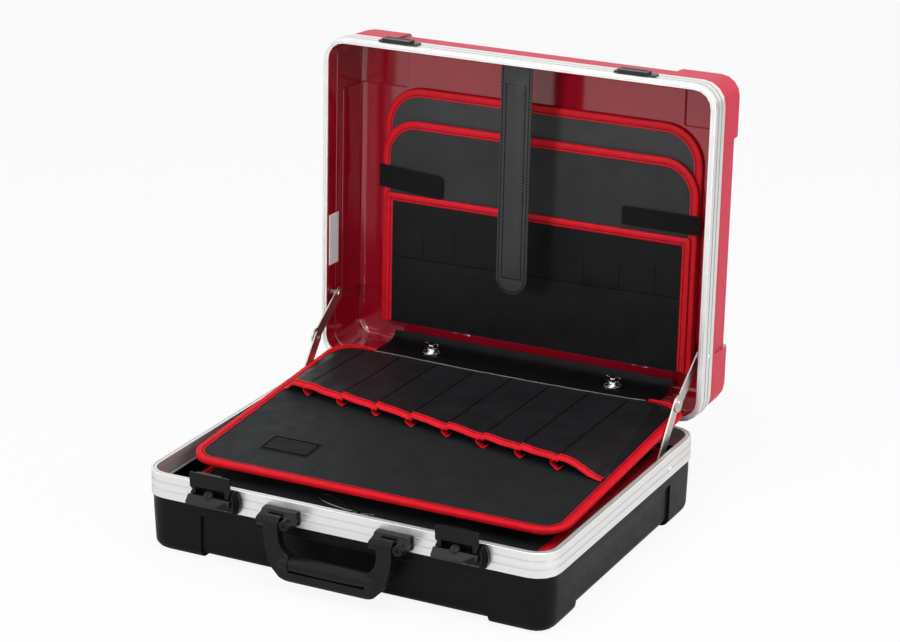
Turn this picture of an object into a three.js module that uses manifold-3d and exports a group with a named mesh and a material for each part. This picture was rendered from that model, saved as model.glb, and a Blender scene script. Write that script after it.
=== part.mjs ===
// A hard tool case standing open: a black base tray and a red lid tray with corner blocks,
// aluminium rim frames with a groove and a tongue, two rear hinges, two draw latches with
// hooked claws and lock cylinders, a folding carry handle, folding lid stays, a sloping
// pocketed tool board on a fold, a flat lower board on dividers, and a lid organiser.
//
// Millimetres, +Z up, +X to the right, -Y to the front. Heights are drawn from the tray's inner
// floor. The whole case is then raised, so that the origin is the centre of the bottom panel's
// outer face. Lid pieces are drawn with the lid closed and then swung open.

import * as THREE from 'three';
import { mergeVertices } from 'three/addons/utils/BufferGeometryUtils.js';
import Module from 'manifold-3d';

const wasm = await Module();
wasm.setup();

// Case
const CASE_WIDTH = 460;
const CASE_DEPTH = 366;
const CORNER_RADIUS = 25;
const BASE_HEIGHT = 81;
const LID_HEIGHT = 78;
const HALF_WIDTH = CASE_WIDTH / 2;
const HALF_DEPTH = CASE_DEPTH / 2;
const FRONT = -HALF_DEPTH;

// Trays
const WALL = 2.4;
const BORDER_INSET = 1.7;
const RECESS_INSET = 4.4;
const RECESS_DROP = 37;
const RECESS_RAMP = 3;
const BLOCK_LENGTH = 70;
const BLOCK_TAPER = 3;
const FOOT_HEIGHT = 3;
const FLOOR_FILLET = 10;
const DRAFT = 0.035;

// Rim frames
const FRAME_BAND = 26;
const FRAME_SKIN = 1.3;
const FRAME_WIDTH = 5.8;
const FRAME_WEB = 2;
const FRAME_LEG = 20.6;
const FRAME_LIP = 0.8;
const FRAME_GROOVE = 0.7;
const FRAME_GROOVE_WIDTH = 1.1;
const MATE_GAP = 0.4;
const FIT = 0.3;

// Rear hinges
const HINGE_OFFSET = 3.5;
const HINGE_Y = HALF_DEPTH + HINGE_OFFSET;
const HINGE_SPACING = 130;
const HINGE_LENGTH = 60;
const KNUCKLE_RADIUS = 3.2;
const HINGE_BORE = 1.5;
const HINGE_PIN = 1.2;
const LID_OPEN = THREE.MathUtils.degToRad(92);

// Latches
const LATCH_CENTRES = [['left', -138.5], ['right', 139]];
const LATCH_OPEN = THREE.MathUtils.degToRad(45);
const PIVOT_OUT = 5;
const PIVOT_Z = 70;
const CLAW_ARM = 5;
const CLAW_LEAD = THREE.MathUtils.degToRad(8);
const CLAW_HEIGHT = 29.4;
const CLAW_LEFT = -24.1;
const CLAW_RIGHT = 18.3;
const CLAW_PLATE = 1.6;
const FLAP_LENGTH = 13;
const FLAP_OFFSET = 4.6;
const FLAP_PLATE = 2;
const LOCK_X = -5.2;
const LOCK_DROP = 1.5;
const LOCK_RADIUS = 3.9;
const HOOK_LEFT = -20;
const HOOK_RIGHT = 9;
const EAR_X = 21.2;
const EAR_Z = 68.2;
// Ribs of the housing's ear: width, half height and how far each stands out.
const EAR_RIBS = [[6.8, 12.6, 5.4], [5, 11.6, 8.2], [3.2, 10.4, 10.8]];

// Handle
const HANDLE_SPACING = 63.5;
const HANDLE_PIN_OUT = 18;
const HANDLE_PIN_Z = 64.5;
const HANDLE_PIN_RADIUS = 2.6;
const LEG_HALF = 8.2;
const GRIP_HALF = 43.1;
const GRIP_RADIUS = 8.8;
const CHEEK_RADIUS = 5.6;
const BAIL_BOTTOM = 7;
const CRADLE_TOP = 17.4;
const GRIP_OUT = 20;
const GRIP_Z = 24.5;

// Lid stays
const STAY_BASE = [109, 63.1];
const STAY_KNEE = [154.7, 118.8];
const STAY_LID = [113, 98.4];
const STAY_LOWER_X = 215.2;
const STAY_UPPER_X = 217.2;
const STAY_PLATE = 1.5;
const STAY_WIDTH = 14;
const KNEE_DISC = 10;
const RIVET_RADIUS = 2.4;

// Boards
const BOARD_SLOPE = Math.atan(0.0644);
const BOARD_TOP_Z = 86.9;
const BOARD_PLATE = 2.6;
const TOOL_PLATE = 4.6;
const TOOL_BOARD = { left: -214, right: 214, front: -127, back: 199, radii: [30, 30, 30, 30] };
const LOWER_BOARD = { left: -202, right: 202, front: -155, back: 172, radii: [22, 22, 22, 22] };
const LOWER_BOARD_Z = 58.8;
const PIPING_WIDTH = 9.6;
const PIPING_SKIN = 0.8;
const PIPING_DEPTH = 3.8;
const POCKET_LEFT = -204;
const POCKET_RIGHT = 204;
const POCKET_FRONT = 65;
const POCKET_BACK = 189;
const POCKET_CHAMFER = 22;
const POCKET_SLANT = 0.162;
const POCKET_PITCH = 45.9;
const POCKET_FIRST = -171;
const POCKET_COUNT = 8;
const POCKET_CROWN = 13.4;
const POCKET_SEAM = 12;
const POCKET_HEM = 2.6;
const MOUTH_WIDTH = 6;
const POCKET_END = 14;
const DIVIDER_X = 100;
const DIVIDER_HALF = 144;

// Lid lining
const FLAP_HALF = 170;
const FOLD_S = 12;
const FOLD_Q = 13.5;
const FOLD_RADIUS = 0.8;
const STUD_X = 111;
const STUD_Q = 39.5;
const ORGANISER_HALF = 190.5;
const STRAP_HALF = 18.2;
const BACK_LAYER_Q = 72.7;
const FRONT_LAYER_Q = 67.4;
const POCKET_LAYER_Q = 63;

const CORNER_STEPS = 4;
const ROUND_STEPS = 10;
const MIN_RADIUS = 0.6;

const COLOURS = {
  blackPlastic: { color: 0x1c1d20, roughness: 0.45, metalness: 0 },
  redPlastic: { color: 0xa5142c, roughness: 0.3, metalness: 0 },
  aluminium: { color: 0xe4e4e2, roughness: 0.35, metalness: 0.9 },
  steel: { color: 0xc4beb4, roughness: 0.3, metalness: 1 },
  leatherBoard: { color: 0x242628, roughness: 0.6, metalness: 0 },
  pocketCloth: { color: 0x1a1a1d, roughness: 0.5, metalness: 0 },
  redBinding: { color: 0xd31f2b, roughness: 0.55, metalness: 0 },
};

// Helpers

function range(count) {
  return Array.from({ length: count }, (unused, index) => index);
}

function flat(points) {
  return points.map(([a, b]) => new THREE.Vector2(a, b));
}

// A closed body from any closed geometry, with its faces turned outwards.
function solid(geometry) {
  const bare = geometry.clone();
  bare.deleteAttribute('normal');
  bare.deleteAttribute('uv');
  const merged = mergeVertices(bare, 1e-4);
  const position = merged.attributes.position;
  const corner = (index) => new THREE.Vector3().fromBufferAttribute(position, index);
  const faces = [];
  let volume = 0;
  for (let i = 0; i < merged.index.count; i += 3) {
    const [a, b, c] = [0, 1, 2].map((step) => merged.index.getX(i + step));
    if (a !== b && b !== c && c !== a) {
      faces.push([a, b, c]);
      volume += corner(a).dot(corner(b).cross(corner(c)));
    }
  }
  const turned = volume > 0 ? faces : faces.map(([a, b, c]) => [a, c, b]);
  return new wasm.Manifold(new wasm.Mesh({
    numProp: 3,
    vertProperties: new Float32Array(position.array),
    triVerts: new Uint32Array(turned.flat()),
  }));
}

function joined(parts) {
  return parts.reduce((whole, part) => whole.add(part));
}

// An outline pushed along one axis: (y, z) along x, (x, z) along y or (x, y) along z.
function prism(axis, outline, from, to) {
  const shape = outline instanceof THREE.Shape ? outline : new THREE.Shape(flat(outline));
  const geometry = new THREE.ExtrudeGeometry(shape, {
    depth: to - from,
    bevelEnabled: false,
    curveSegments: CORNER_STEPS,
  });
  const unit = (x, y, z) => new THREE.Vector3(x, y, z);
  const turn = new THREE.Matrix4();
  if (axis === 'x') {
    turn.makeBasis(unit(0, 1, 0), unit(0, 0, 1), unit(1, 0, 0)).setPosition(from, 0, 0);
  } else if (axis === 'y') {
    turn.makeBasis(unit(1, 0, 0), unit(0, 0, 1), unit(0, -1, 0)).setPosition(0, to, 0);
  } else {
    turn.setPosition(0, 0, from);
  }
  geometry.applyMatrix4(turn);
  return solid(geometry);
}

function block([x0, x1], [y0, y1], [z0, z1]) {
  const geometry = new THREE.BoxGeometry(x1 - x0, y1 - y0, z1 - z0);
  geometry.translate((x0 + x1) / 2, (y0 + y1) / 2, (z0 + z1) / 2);
  return solid(geometry);
}

// A turned piece: profile points are [radius, distance along the axis], ends on the axis.
function turned(axis, profile, [a, b], steps = ROUND_STEPS) {
  const geometry = new THREE.LatheGeometry(flat(profile), steps);
  if (axis === 'x') {
    geometry.rotateZ(-Math.PI / 2);
    geometry.translate(0, a, b);
  } else if (axis === 'y') {
    geometry.translate(a, 0, b);
  } else {
    geometry.rotateX(Math.PI / 2);
    geometry.translate(a, b, 0);
  }
  return solid(geometry);
}

function rod(axis, radius, from, to, centre, steps = ROUND_STEPS) {
  return turned(axis, [[0, from], [radius, from], [radius, to], [0, to]], centre, steps);
}

// Skin over rings with the same number of points, capped at both ends or closed on itself.
function loft(rings, looped = false) {
  const count = rings[0].length;
  const last = (rings.length - 1) * count;
  const index = [];
  for (const i of range(looped ? rings.length : rings.length - 1)) {
    for (const k of range(count)) {
      const here = i * count;
      const next = ((i + 1) % rings.length) * count;
      const k1 = (k + 1) % count;
      index.push(here + k, here + k1, next + k1, here + k, next + k1, next + k);
    }
  }
  if (!looped) {
    for (const k of range(count - 2)) {
      index.push(0, k + 2, k + 1, last, last + k + 1, last + k + 2);
    }
  }
  const geometry = new THREE.BufferGeometry().setFromPoints(rings.flat());
  geometry.setIndex(index);
  return solid(geometry);
}

// Rounded rectangle from the front left corner round, moved inwards by inset.
function outline(plan, inset = 0) {
  const corners = [
    [plan.left, plan.front, 1, 1],
    [plan.right, plan.front, -1, 1],
    [plan.right, plan.back, -1, -1],
    [plan.left, plan.back, 1, -1],
  ];
  return corners.flatMap(([x, y, inX, inY], corner) => {
    const radius = Math.max(plan.radii[corner] - inset, MIN_RADIUS);
    const centreX = x + inX * (inset + radius);
    const centreY = y + inY * (inset + radius);
    return range(CORNER_STEPS + 1).map((step) => {
      const angle = Math.PI + (corner + step / CORNER_STEPS) * (Math.PI / 2);
      return [centreX + radius * Math.cos(angle), centreY + radius * Math.sin(angle)];
    });
  });
}

function ring(plan, inset, z) {
  return outline(plan, inset).map(([x, y]) => new THREE.Vector3(x, y, z));
}

// A section of [inset, z] points carried round an outline.
function rim(plan, section) {
  return loft(section.map(([inset, z]) => ring(plan, inset, z)), true);
}

function box2(left, right, front, back, radius) {
  return outline({ left, right, front, back, radii: [radius, radius, radius, radius] });
}

// Points of an arc from one angle to another, in degrees.
function arc([a, b], radius, from, to, steps = CORNER_STEPS) {
  return range(steps + 1).map((step) => {
    const angle = THREE.MathUtils.degToRad(from + ((to - from) * step) / steps);
    return [a + radius * Math.cos(angle), b + radius * Math.sin(angle)];
  });
}

function mesh(name, body, look) {
  const { vertProperties, triVerts } = body.getMesh();
  const geometry = new THREE.BufferGeometry();
  geometry.setAttribute('position', new THREE.BufferAttribute(new Float32Array(vertProperties), 3));
  geometry.setIndex(new THREE.BufferAttribute(new Uint32Array(triVerts), 1));
  geometry.computeVertexNormals();
  const piece = new THREE.Mesh(geometry, new THREE.MeshStandardMaterial(look));
  piece.name = name;
  return piece;
}

const out = (distance) => FRONT - distance;
const lidY = (s) => HALF_DEPTH - s;
const lidZ = (q) => BASE_HEIGHT + MATE_GAP / 2 + q;

const CASE_PLAN = {
  left: -HALF_WIDTH,
  right: HALF_WIDTH,
  front: -HALF_DEPTH,
  back: HALF_DEPTH,
  radii: [CORNER_RADIUS, CORNER_RADIUS, CORNER_RADIUS, CORNER_RADIUS],
};

// Moulded trays

// One skin of a tray, from its floor up: fillet, drafted wall, ramp and border.
function trayRings(height, floorZ, wallInset, skin, topZ) {
  const rampEnd = height - RECESS_DROP;
  const rampStart = rampEnd - RECESS_RAMP;
  const radius = FLOOR_FILLET - skin;
  const footInset = wallInset + DRAFT * (rampStart - floorZ - FLOOR_FILLET) + skin;
  const fillet = range(CORNER_STEPS + 1).map((step) => {
    const angle = (step / CORNER_STEPS) * (Math.PI / 2);
    return [footInset + radius * (1 - Math.sin(angle)), floorZ + skin + radius * (1 - Math.cos(angle))];
  });
  const wall = [[wallInset + skin, rampStart], [BORDER_INSET + skin, rampEnd], [BORDER_INSET + skin, topZ]];
  return [...fillet, ...wall].map(([inset, z]) => ring(CASE_PLAN, inset, z));
}

// The four corner regions where the blocks stand out from the recessed walls.
function cornerPosts(height, floorZ, skin) {
  const far = 10;
  const post = (signX, signY) => {
    const section = (z, taper) => {
      const x = HALF_WIDTH - BLOCK_LENGTH + skin + taper;
      const y = HALF_DEPTH - BLOCK_LENGTH + skin + taper;
      const plan = {
        left: Math.min(signX * x, signX * (HALF_WIDTH + far)),
        right: Math.max(signX * x, signX * (HALF_WIDTH + far)),
        front: Math.min(signY * y, signY * (HALF_DEPTH + far)),
        back: Math.max(signY * y, signY * (HALF_DEPTH + far)),
        radii: [FOOT_HEIGHT, FOOT_HEIGHT, FOOT_HEIGHT, FOOT_HEIGHT],
      };
      return ring(plan, 0, z);
    };
    return loft([section(floorZ - FOOT_HEIGHT - 1, BLOCK_TAPER), section(height, 0)]);
  };
  return joined([post(-1, -1), post(1, -1), post(1, 1), post(-1, 1)]);
}

function tray(height, floorZ) {
  const rimZ = height - FRAME_WEB - FIT - MATE_GAP / 2;
  const skinOf = (skin, topZ) => {
    const panels = loft(trayRings(height, floorZ, RECESS_INSET, skin, topZ));
    const blocks = loft(trayRings(height, floorZ - FOOT_HEIGHT, BORDER_INSET, skin, topZ));
    return panels.add(blocks.intersect(cornerPosts(height, floorZ, skin)));
  };
  return skinOf(0, rimZ).subtract(skinOf(WALL, height + 10));
}

function lidTray() {
  const upright = mesh('tray', tray(LID_HEIGHT, 0), {}).geometry;
  upright.rotateX(Math.PI);
  upright.translate(0, 0, lidZ(LID_HEIGHT));
  return solid(upright);
}

// Aluminium rim profile: a banded face, a slot for the tray's edge, an inner leg with a lip,
// and a groove or a tongue along the mating face. Depths run away from the mating face.
function rimProfile(mateZ, away, ridge) {
  const slotEnd = FRAME_WIDTH - FRAME_SKIN;
  const bands = [1, 2].flatMap((band) => {
    const start = (FRAME_BAND * band) / 3 - FRAME_GROOVE_WIDTH / 2;
    const end = start + FRAME_GROOVE_WIDTH;
    return [[0, start], [FRAME_GROOVE, start], [FRAME_GROOVE, end], [0, end]];
  });
  const section = [
    [0.5, 0],
    [0, 0.5],
    ...bands,
    [0, FRAME_BAND],
    [FRAME_SKIN, FRAME_BAND],
    [FRAME_SKIN, FRAME_WEB],
    [slotEnd, FRAME_WEB],
    [slotEnd, FRAME_LEG],
    [FRAME_WIDTH + FRAME_LIP, FRAME_LEG],
    [FRAME_WIDTH + FRAME_LIP, FRAME_LEG - 1.2],
    [FRAME_WIDTH, FRAME_LEG - 1.2],
    [FRAME_WIDTH, 0],
    ...ridge,
  ];
  return rim(CASE_PLAN, section.map(([inset, depth]) => [inset, mateZ + away * depth]));
}

function baseFrame() {
  const groove = [[3.6, 0], [3.6, 1.2], [2.2, 1.2], [2.2, 0]];
  return rimProfile(BASE_HEIGHT - MATE_GAP / 2, -1, groove);
}

function lidFrame() {
  const tongue = [[3.3, 0], [3.3, -0.9], [2.5, -0.9], [2.5, 0]];
  return rimProfile(BASE_HEIGHT + MATE_GAP / 2, 1, tongue);
}

// Rear hinges

const HINGE_ZONES = range(5).map((zone) => {
  const pitch = HINGE_LENGTH / 5;
  const start = -HINGE_LENGTH / 2 + zone * pitch;
  return { from: start + 0.2, to: start + pitch - 0.2, onBase: zone % 2 === 0 };
});

function hingeLeaf(centre, onBase) {
  const plate = 1.2;
  const near = HALF_DEPTH + FIT;
  const [low, high] = onBase ? [57, BASE_HEIGHT - 0.3] : [BASE_HEIGHT + 0.3, BASE_HEIGHT + 24];
  const leaf = prism('y', box2(-HINGE_LENGTH / 2, HINGE_LENGTH / 2, low, high, 2), near, near + plate);
  const axis = [HINGE_Y, BASE_HEIGHT];
  const zones = (mine) => HINGE_ZONES.filter((zone) => (zone.onBase === onBase) === mine);
  const knuckles = zones(true).map((zone) => rod('x', KNUCKLE_RADIUS, zone.from, zone.to, axis));
  const notches = zones(false).map((zone) => (
    rod('x', KNUCKLE_RADIUS + 0.35, zone.from - 0.4, zone.to + 0.4, axis)
  ));
  const bore = rod('x', HINGE_BORE, -HINGE_LENGTH, HINGE_LENGTH, axis);
  const hinge = leaf.subtract(joined(notches)).add(joined(knuckles)).subtract(bore);
  return hinge.translate([centre, 0, 0]);
}

function hingePin(centre) {
  const half = HINGE_LENGTH / 2 + 0.6;
  const profile = [
    [0, -half - 1], [KNUCKLE_RADIUS - 0.8, -half - 1], [KNUCKLE_RADIUS - 0.8, -half],
    [HINGE_PIN, -half], [HINGE_PIN, half],
    [KNUCKLE_RADIUS - 0.8, half], [KNUCKLE_RADIUS - 0.8, half + 1], [0, half + 1],
  ];
  return turned('x', profile, [HINGE_Y, BASE_HEIGHT]).translate([centre, 0, 0]);
}

// Draw latches, in x from the latch's centre

function latchHousing() {
  const backPlate = prism('y', box2(-28, 25, 56, 80.4, 2), out(2.1), out(FIT));
  const lug = prism('x', [
    [out(0.4), 63], [out(5.5), 66], [out(8), 68.2], [out(8.6), 70.5],
    [out(7.4), 73], [out(4.5), 74.2], [out(0.4), 76.5],
  ], -28, -26.2);
  const ear = EAR_RIBS.map(([width, half, proud]) => {
    const bulge = range(9).map((step) => {
      const angle = -Math.PI / 2 + (step / 8) * Math.PI;
      return [EAR_X + width * Math.cos(angle), EAR_Z + half * Math.sin(angle)];
    });
    return prism('y', bulge, out(proud), out(FIT));
  });
  const bore = rod('x', 1.8, -30, EAR_X + 3.2, [out(PIVOT_OUT), PIVOT_Z]);
  return joined([backPlate, lug, ...ear]).subtract(bore);
}

// The lever is drawn closed, with its pivot at the origin.
function latchLever() {
  const face = -FLAP_OFFSET;
  const armRight = CLAW_RIGHT + FIT;
  const flap = prism('y', [
    [-28, -3.1], [-28, 1 - FLAP_LENGTH], [-27, -FLAP_LENGTH], [5, -FLAP_LENGTH],
    [7, 1.4 - FLAP_LENGTH], [15, -5.8], [armRight + 1.5, -5.8], [armRight + 1.5, -3.1],
  ], face - FLAP_PLATE, face);
  const lip = rod('x', 1.4, -27.2, 5.2, [face - FLAP_PLATE / 2, -FLAP_LENGTH], 8);
  const boss = rod('y', 5, face - FLAP_PLATE - 0.8, face, [LOCK_X, -LOCK_DROP], 16);
  const arm = [
    [2.6, 0.8], [1.2, 2.5], [-1.2, 2.5], [-2.8, 0.6], [-6.2, -3.1], [-6.2, -9],
    [-2.5, -8.2], [0.7, -7.4], [2.7, -6.2], [2.9, -4],
  ];
  const arms = [[CLAW_LEFT - 1.8, CLAW_LEFT - FIT], [armRight, armRight + 1.5]];
  const pins = [[-27.9, -25.7], [armRight + 1.4, EAR_X + 2.7]];
  const clawAxis = [CLAW_ARM * Math.sin(CLAW_LEAD), -CLAW_ARM * Math.cos(CLAW_LEAD)];
  const clawBore = rod('x', 1.5, -26.2, armRight + 1.8, clawAxis);
  const lockBore = rod('y', LOCK_RADIUS + FIT, -12, 0, [LOCK_X, -LOCK_DROP], 16);
  return joined([flap, lip, boss, ...arms.map(([from, to]) => prism('x', arm, from, to))])
    .subtract(clawBore)
    .subtract(lockBore)
    .add(joined(pins.map(([from, to]) => rod('x', 1.4, from, to, [0, 0], 10))));
}

// The claw is drawn closed, with its own pivot at the origin.
function latchClaw() {
  const inner = -0.5;
  const outer = inner - CLAW_PLATE;
  const [left, right] = [-27.4, CLAW_RIGHT + 1.6];
  const plate = prism('y', [
    [CLAW_LEFT, -1], [CLAW_RIGHT, -1], [CLAW_RIGHT, 11.2], [right, 13.4],
    [right, CLAW_HEIGHT - 1.5], [right - 1.2, CLAW_HEIGHT], [left + 1, CLAW_HEIGHT],
    [left, CLAW_HEIGHT - 1.5], [left + 0.4, 14], [CLAW_LEFT, 11.2],
  ], outer, inner);
  const hook = CLAW_HEIGHT - CLAW_PLATE;
  const lip = prism('x', [
    [outer, CLAW_HEIGHT], [outer, hook], [2.0, hook],
    [2.4, hook + 0.4], [2.4, CLAW_HEIGHT - 0.3], [2.0, CLAW_HEIGHT],
  ], HOOK_LEFT, HOOK_RIGHT);
  const window = block([-20.5, 13.5], [-6, 3], [3.2, 14]);
  const bead = rod('x', 1.3, -19, 12, [outer, 15.6], 8);
  const knuckle = rod('x', 1.7, CLAW_LEFT, CLAW_RIGHT, [0, 0]);
  const pins = rod('x', 1.1, CLAW_LEFT - 1.6, CLAW_RIGHT + 1.6, [0, 0], 10);
  return plate.subtract(window).add(lip).add(bead).add(knuckle).add(pins);
}

function lockCylinder() {
  const face = -FLAP_OFFSET;
  const barrel = turned('y', [
    [0, face - FLAP_PLATE - 1.4], [LOCK_RADIUS - 0.5, face - FLAP_PLATE - 1.4],
    [LOCK_RADIUS, face - FLAP_PLATE - 0.9], [LOCK_RADIUS, face + 0.8], [0, face + 0.8],
  ], [0, 0], 16);
  const keyway = block([-0.6, 0.6], [face - 4, face - FLAP_PLATE], [-2.4, 2.4]);
  return barrel.subtract(keyway);
}

function strike() {
  const [low, high] = [BASE_HEIGHT + 4, BASE_HEIGHT + 18.4];
  const plate = prism('y', box2(-27.5, 19.5, low + 2, high, 2), out(1.8), out(FIT));
  const bridge = prism('y', box2(HOOK_LEFT - 2.6, HOOK_RIGHT + 2.6, low, high - 0.6, 2), out(4.4), out(FIT));
  const slot = block([HOOK_LEFT - 0.9, HOOK_RIGHT + 0.9], [out(6), out(1.5)], [
    BASE_HEIGHT + 11.2, BASE_HEIGHT + 14.3,
  ]);
  return plate.add(bridge).subtract(slot);
}

// Carry handle

// A cheek on each side of the leg under a bridge. The right cheek ends in a round barrel with a
// screw hole, in which the pin ends blind.
function handleBracket() {
  const axis = [out(HANDLE_PIN_OUT), HANDLE_PIN_Z];
  const near = LEG_HALF + 0.5;
  const barrelX = near + CHEEK_RADIUS;
  const back = prism('y', box2(-20.5, 20.5, 57.5, 73.2, 3), out(2.8), out(FIT));
  const cheek = [
    [out(2), 58.2], [out(11), 58.4], ...arc(axis, CHEEK_RADIUS, 245, 110, 8), [out(8), 72.4], [out(2), 73],
  ];
  const left = prism('x', cheek, -near - 8.8, -near);
  const right = prism('x', cheek.map(([y, z]) => [Math.max(y, out(17)), z]), near, near + 10.4);
  const barrel = rod('y', CHEEK_RADIUS, out(24.2), out(2), [barrelX, HANDLE_PIN_Z], 14);
  const bridge = prism('x', [
    [out(2), 67.5], [out(6), 68], [out(10.6), 70.2], [out(8.6), 72.6], [out(2), 73.2],
  ], -19, 19);
  const bore = rod('x', HANDLE_PIN_RADIUS + FIT, -30, barrelX + 2, axis);
  const screw = rod('y', 1.7, out(25), out(22.4), [barrelX, HANDLE_PIN_Z], 10);
  return joined([back, left, right, barrel, bridge]).subtract(bore).subtract(screw);
}

function handlePin() {
  const head = 3.9;
  return turned('x', [
    [0, -19.5], [head - 0.8, -19.5], [head, -18.8], [head, -18], [HANDLE_PIN_RADIUS, -18],
    [HANDLE_PIN_RADIUS, 15.6], [0, 15.6],
  ], [out(HANDLE_PIN_OUT), HANDLE_PIN_Z]);
}

// The bail is its front view cut by its side view, with a round boss on each side of the grip
// and a cradle under it.
function handleBail() {
  const top = HANDLE_PIN_Z + 7.4;
  const outer = HANDLE_SPACING + LEG_HALF;
  const inner = HANDLE_SPACING - LEG_HALF;
  const gripEnd = GRIP_HALF + FIT;
  const shape = new THREE.Shape();
  shape.moveTo(outer, top);
  shape.lineTo(outer, 52);
  shape.quadraticCurveTo(outer - 1.6, 24, 54, 11);
  shape.quadraticCurveTo(49.5, BAIL_BOTTOM + 0.2, 43, BAIL_BOTTOM);
  shape.lineTo(-43, BAIL_BOTTOM);
  shape.quadraticCurveTo(-49.5, BAIL_BOTTOM + 0.2, -54, 11);
  shape.quadraticCurveTo(1.6 - outer, 24, -outer, 52);
  shape.lineTo(-outer, top);
  shape.lineTo(-inner, top);
  shape.lineTo(-inner, 54);
  shape.quadraticCurveTo(-inner, 40, -gripEnd, 33);
  shape.lineTo(-gripEnd, CRADLE_TOP);
  shape.lineTo(gripEnd, CRADLE_TOP);
  shape.lineTo(gripEnd, 33);
  shape.quadraticCurveTo(inner, 40, inner, 54);
  shape.lineTo(inner, top);
  const frontView = prism('y', shape, out(40), out(0));
  const axis = [out(HANDLE_PIN_OUT), HANDLE_PIN_Z];
  const sideView = prism('x', [
    ...arc(axis, 7.2, 0, 180, 8), [out(25), 50], [out(25.4), 36], [out(27), 24], [out(27), 10.5],
    [out(25.4), BAIL_BOTTOM], [out(14.6), BAIL_BOTTOM], [out(13), 10.5], [out(13.4), 24], [out(16.6), 38],
    [out(16), 50],
  ], -outer - 1, outer + 1);
  const boss = turned('x', [
    [0, gripEnd], [GRIP_RADIUS, gripEnd], [GRIP_RADIUS, 50], [7.6, 55], [5, 58.6], [0, 60],
  ], [out(GRIP_OUT), GRIP_Z], 16);
  const cradle = rod('x', GRIP_RADIUS + FIT, -gripEnd, gripEnd, [out(GRIP_OUT), GRIP_Z], 16);
  const bore = rod('x', HANDLE_PIN_RADIUS + FIT, -outer - 1, outer + 1, axis);
  const bosses = boss.add(boss.mirror([1, 0, 0]));
  return frontView.intersect(sideView).add(bosses).subtract(cradle).subtract(bore);
}

function handleGrip() {
  const swell = range(7).map((step) => {
    const along = -1 + step / 3;
    return [GRIP_RADIUS - 0.7 * along * along, along * GRIP_HALF];
  });
  return turned('x', [[0, -GRIP_HALF], ...swell, [0, GRIP_HALF]], [out(GRIP_OUT), GRIP_Z], 16);
}

// Folding stays

// The lower link is bored at both ends. The upper link ends in a disc that carries the knee
// rivet, whose inner end stops just short of the lower link.
function stayLink(length, x, isUpper) {
  const half = STAY_WIDTH / 2;
  const shoulder = THREE.MathUtils.radToDeg(Math.asin(half / KNEE_DISC));
  const farEnd = isUpper
    ? arc([length, 0], KNEE_DISC, shoulder - 180, 180 - shoulder, 10)
    : arc([length, 0], half, -90, 90, 6);
  const plate = prism('x', [...arc([0, 0], half, 90, 270, 6), ...farEnd], x, x + STAY_PLATE);
  const bore = (y) => rod('x', RIVET_RADIUS + FIT, x - 1, x + STAY_PLATE + 1, [y, 0]);
  if (!isUpper) {
    return plate.subtract(bore(0)).subtract(bore(length));
  }
  const face = x + STAY_PLATE;
  const rivet = turned('x', [
    [0, x - 0.25], [RIVET_RADIUS, x - 0.25], [RIVET_RADIUS, face - 0.1], [4.4, face - 0.1],
    [4.4, face + 0.7], [3.4, face + 1.3], [0, face + 1.3],
  ], [length, 0]);
  return plate.subtract(bore(0)).add(rivet);
}

function placedLink(name, from, to, x, isUpper, side) {
  const [dy, dz] = [to[0] - from[0], to[1] - from[1]];
  const link = stayLink(Math.hypot(dy, dz), x, isUpper);
  const piece = mesh(name, side > 0 ? link : link.mirror([1, 0, 0]), COLOURS.steel);
  piece.rotation.x = Math.atan2(dz, dy);
  piece.position.set(0, from[0], from[1]);
  return piece;
}

// Its shoulder stops at the frame's lip and a thin neck reaches the frame's inner leg.
function stayRivet(linkX, centre, side) {
  const wallX = HALF_WIDTH - FRAME_WIDTH - FIT;
  const lipX = wallX - FRAME_LIP;
  const headX = linkX - 0.15;
  const shoulderX = linkX + STAY_PLATE + 0.15;
  const body = turned('x', [
    [0, headX - 1.2], [3.4, headX - 1.2], [4.4, headX - 0.5], [4.4, headX], [RIVET_RADIUS, headX],
    [RIVET_RADIUS, shoulderX], [3.8, shoulderX], [3.8, lipX], [1.3, lipX], [1.3, wallX], [0, wallX],
  ], centre);
  return side > 0 ? body : body.mirror([1, 0, 0]);
}

// Boards and bindings

// A folded binding that grips a board's edge, round the whole outline.
function binding(plan, middleZ, plate = BOARD_PLATE) {
  const half = plate / 2 + FIT + PIPING_SKIN;
  const inside = half - PIPING_SKIN;
  return rim(plan, [
    [0, -half + 1], [0, half - 1], [1, half], [PIPING_WIDTH, half], [PIPING_WIDTH, inside],
    [PIPING_DEPTH, inside], [PIPING_DEPTH, -inside], [PIPING_WIDTH, -inside],
    [PIPING_WIDTH, -half], [1, -half],
  ].map(([inset, z]) => [inset, middleZ + z]));
}

function boardPlate(plan, middleZ, plate = BOARD_PLATE) {
  const inset = PIPING_DEPTH + FIT;
  return prism('z', outline(plan, inset), middleZ - plate / 2, middleZ + plate / 2);
}

const mouthY = (x) => POCKET_FRONT - (x - POCKET_LEFT) * POCKET_SLANT;

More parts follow.
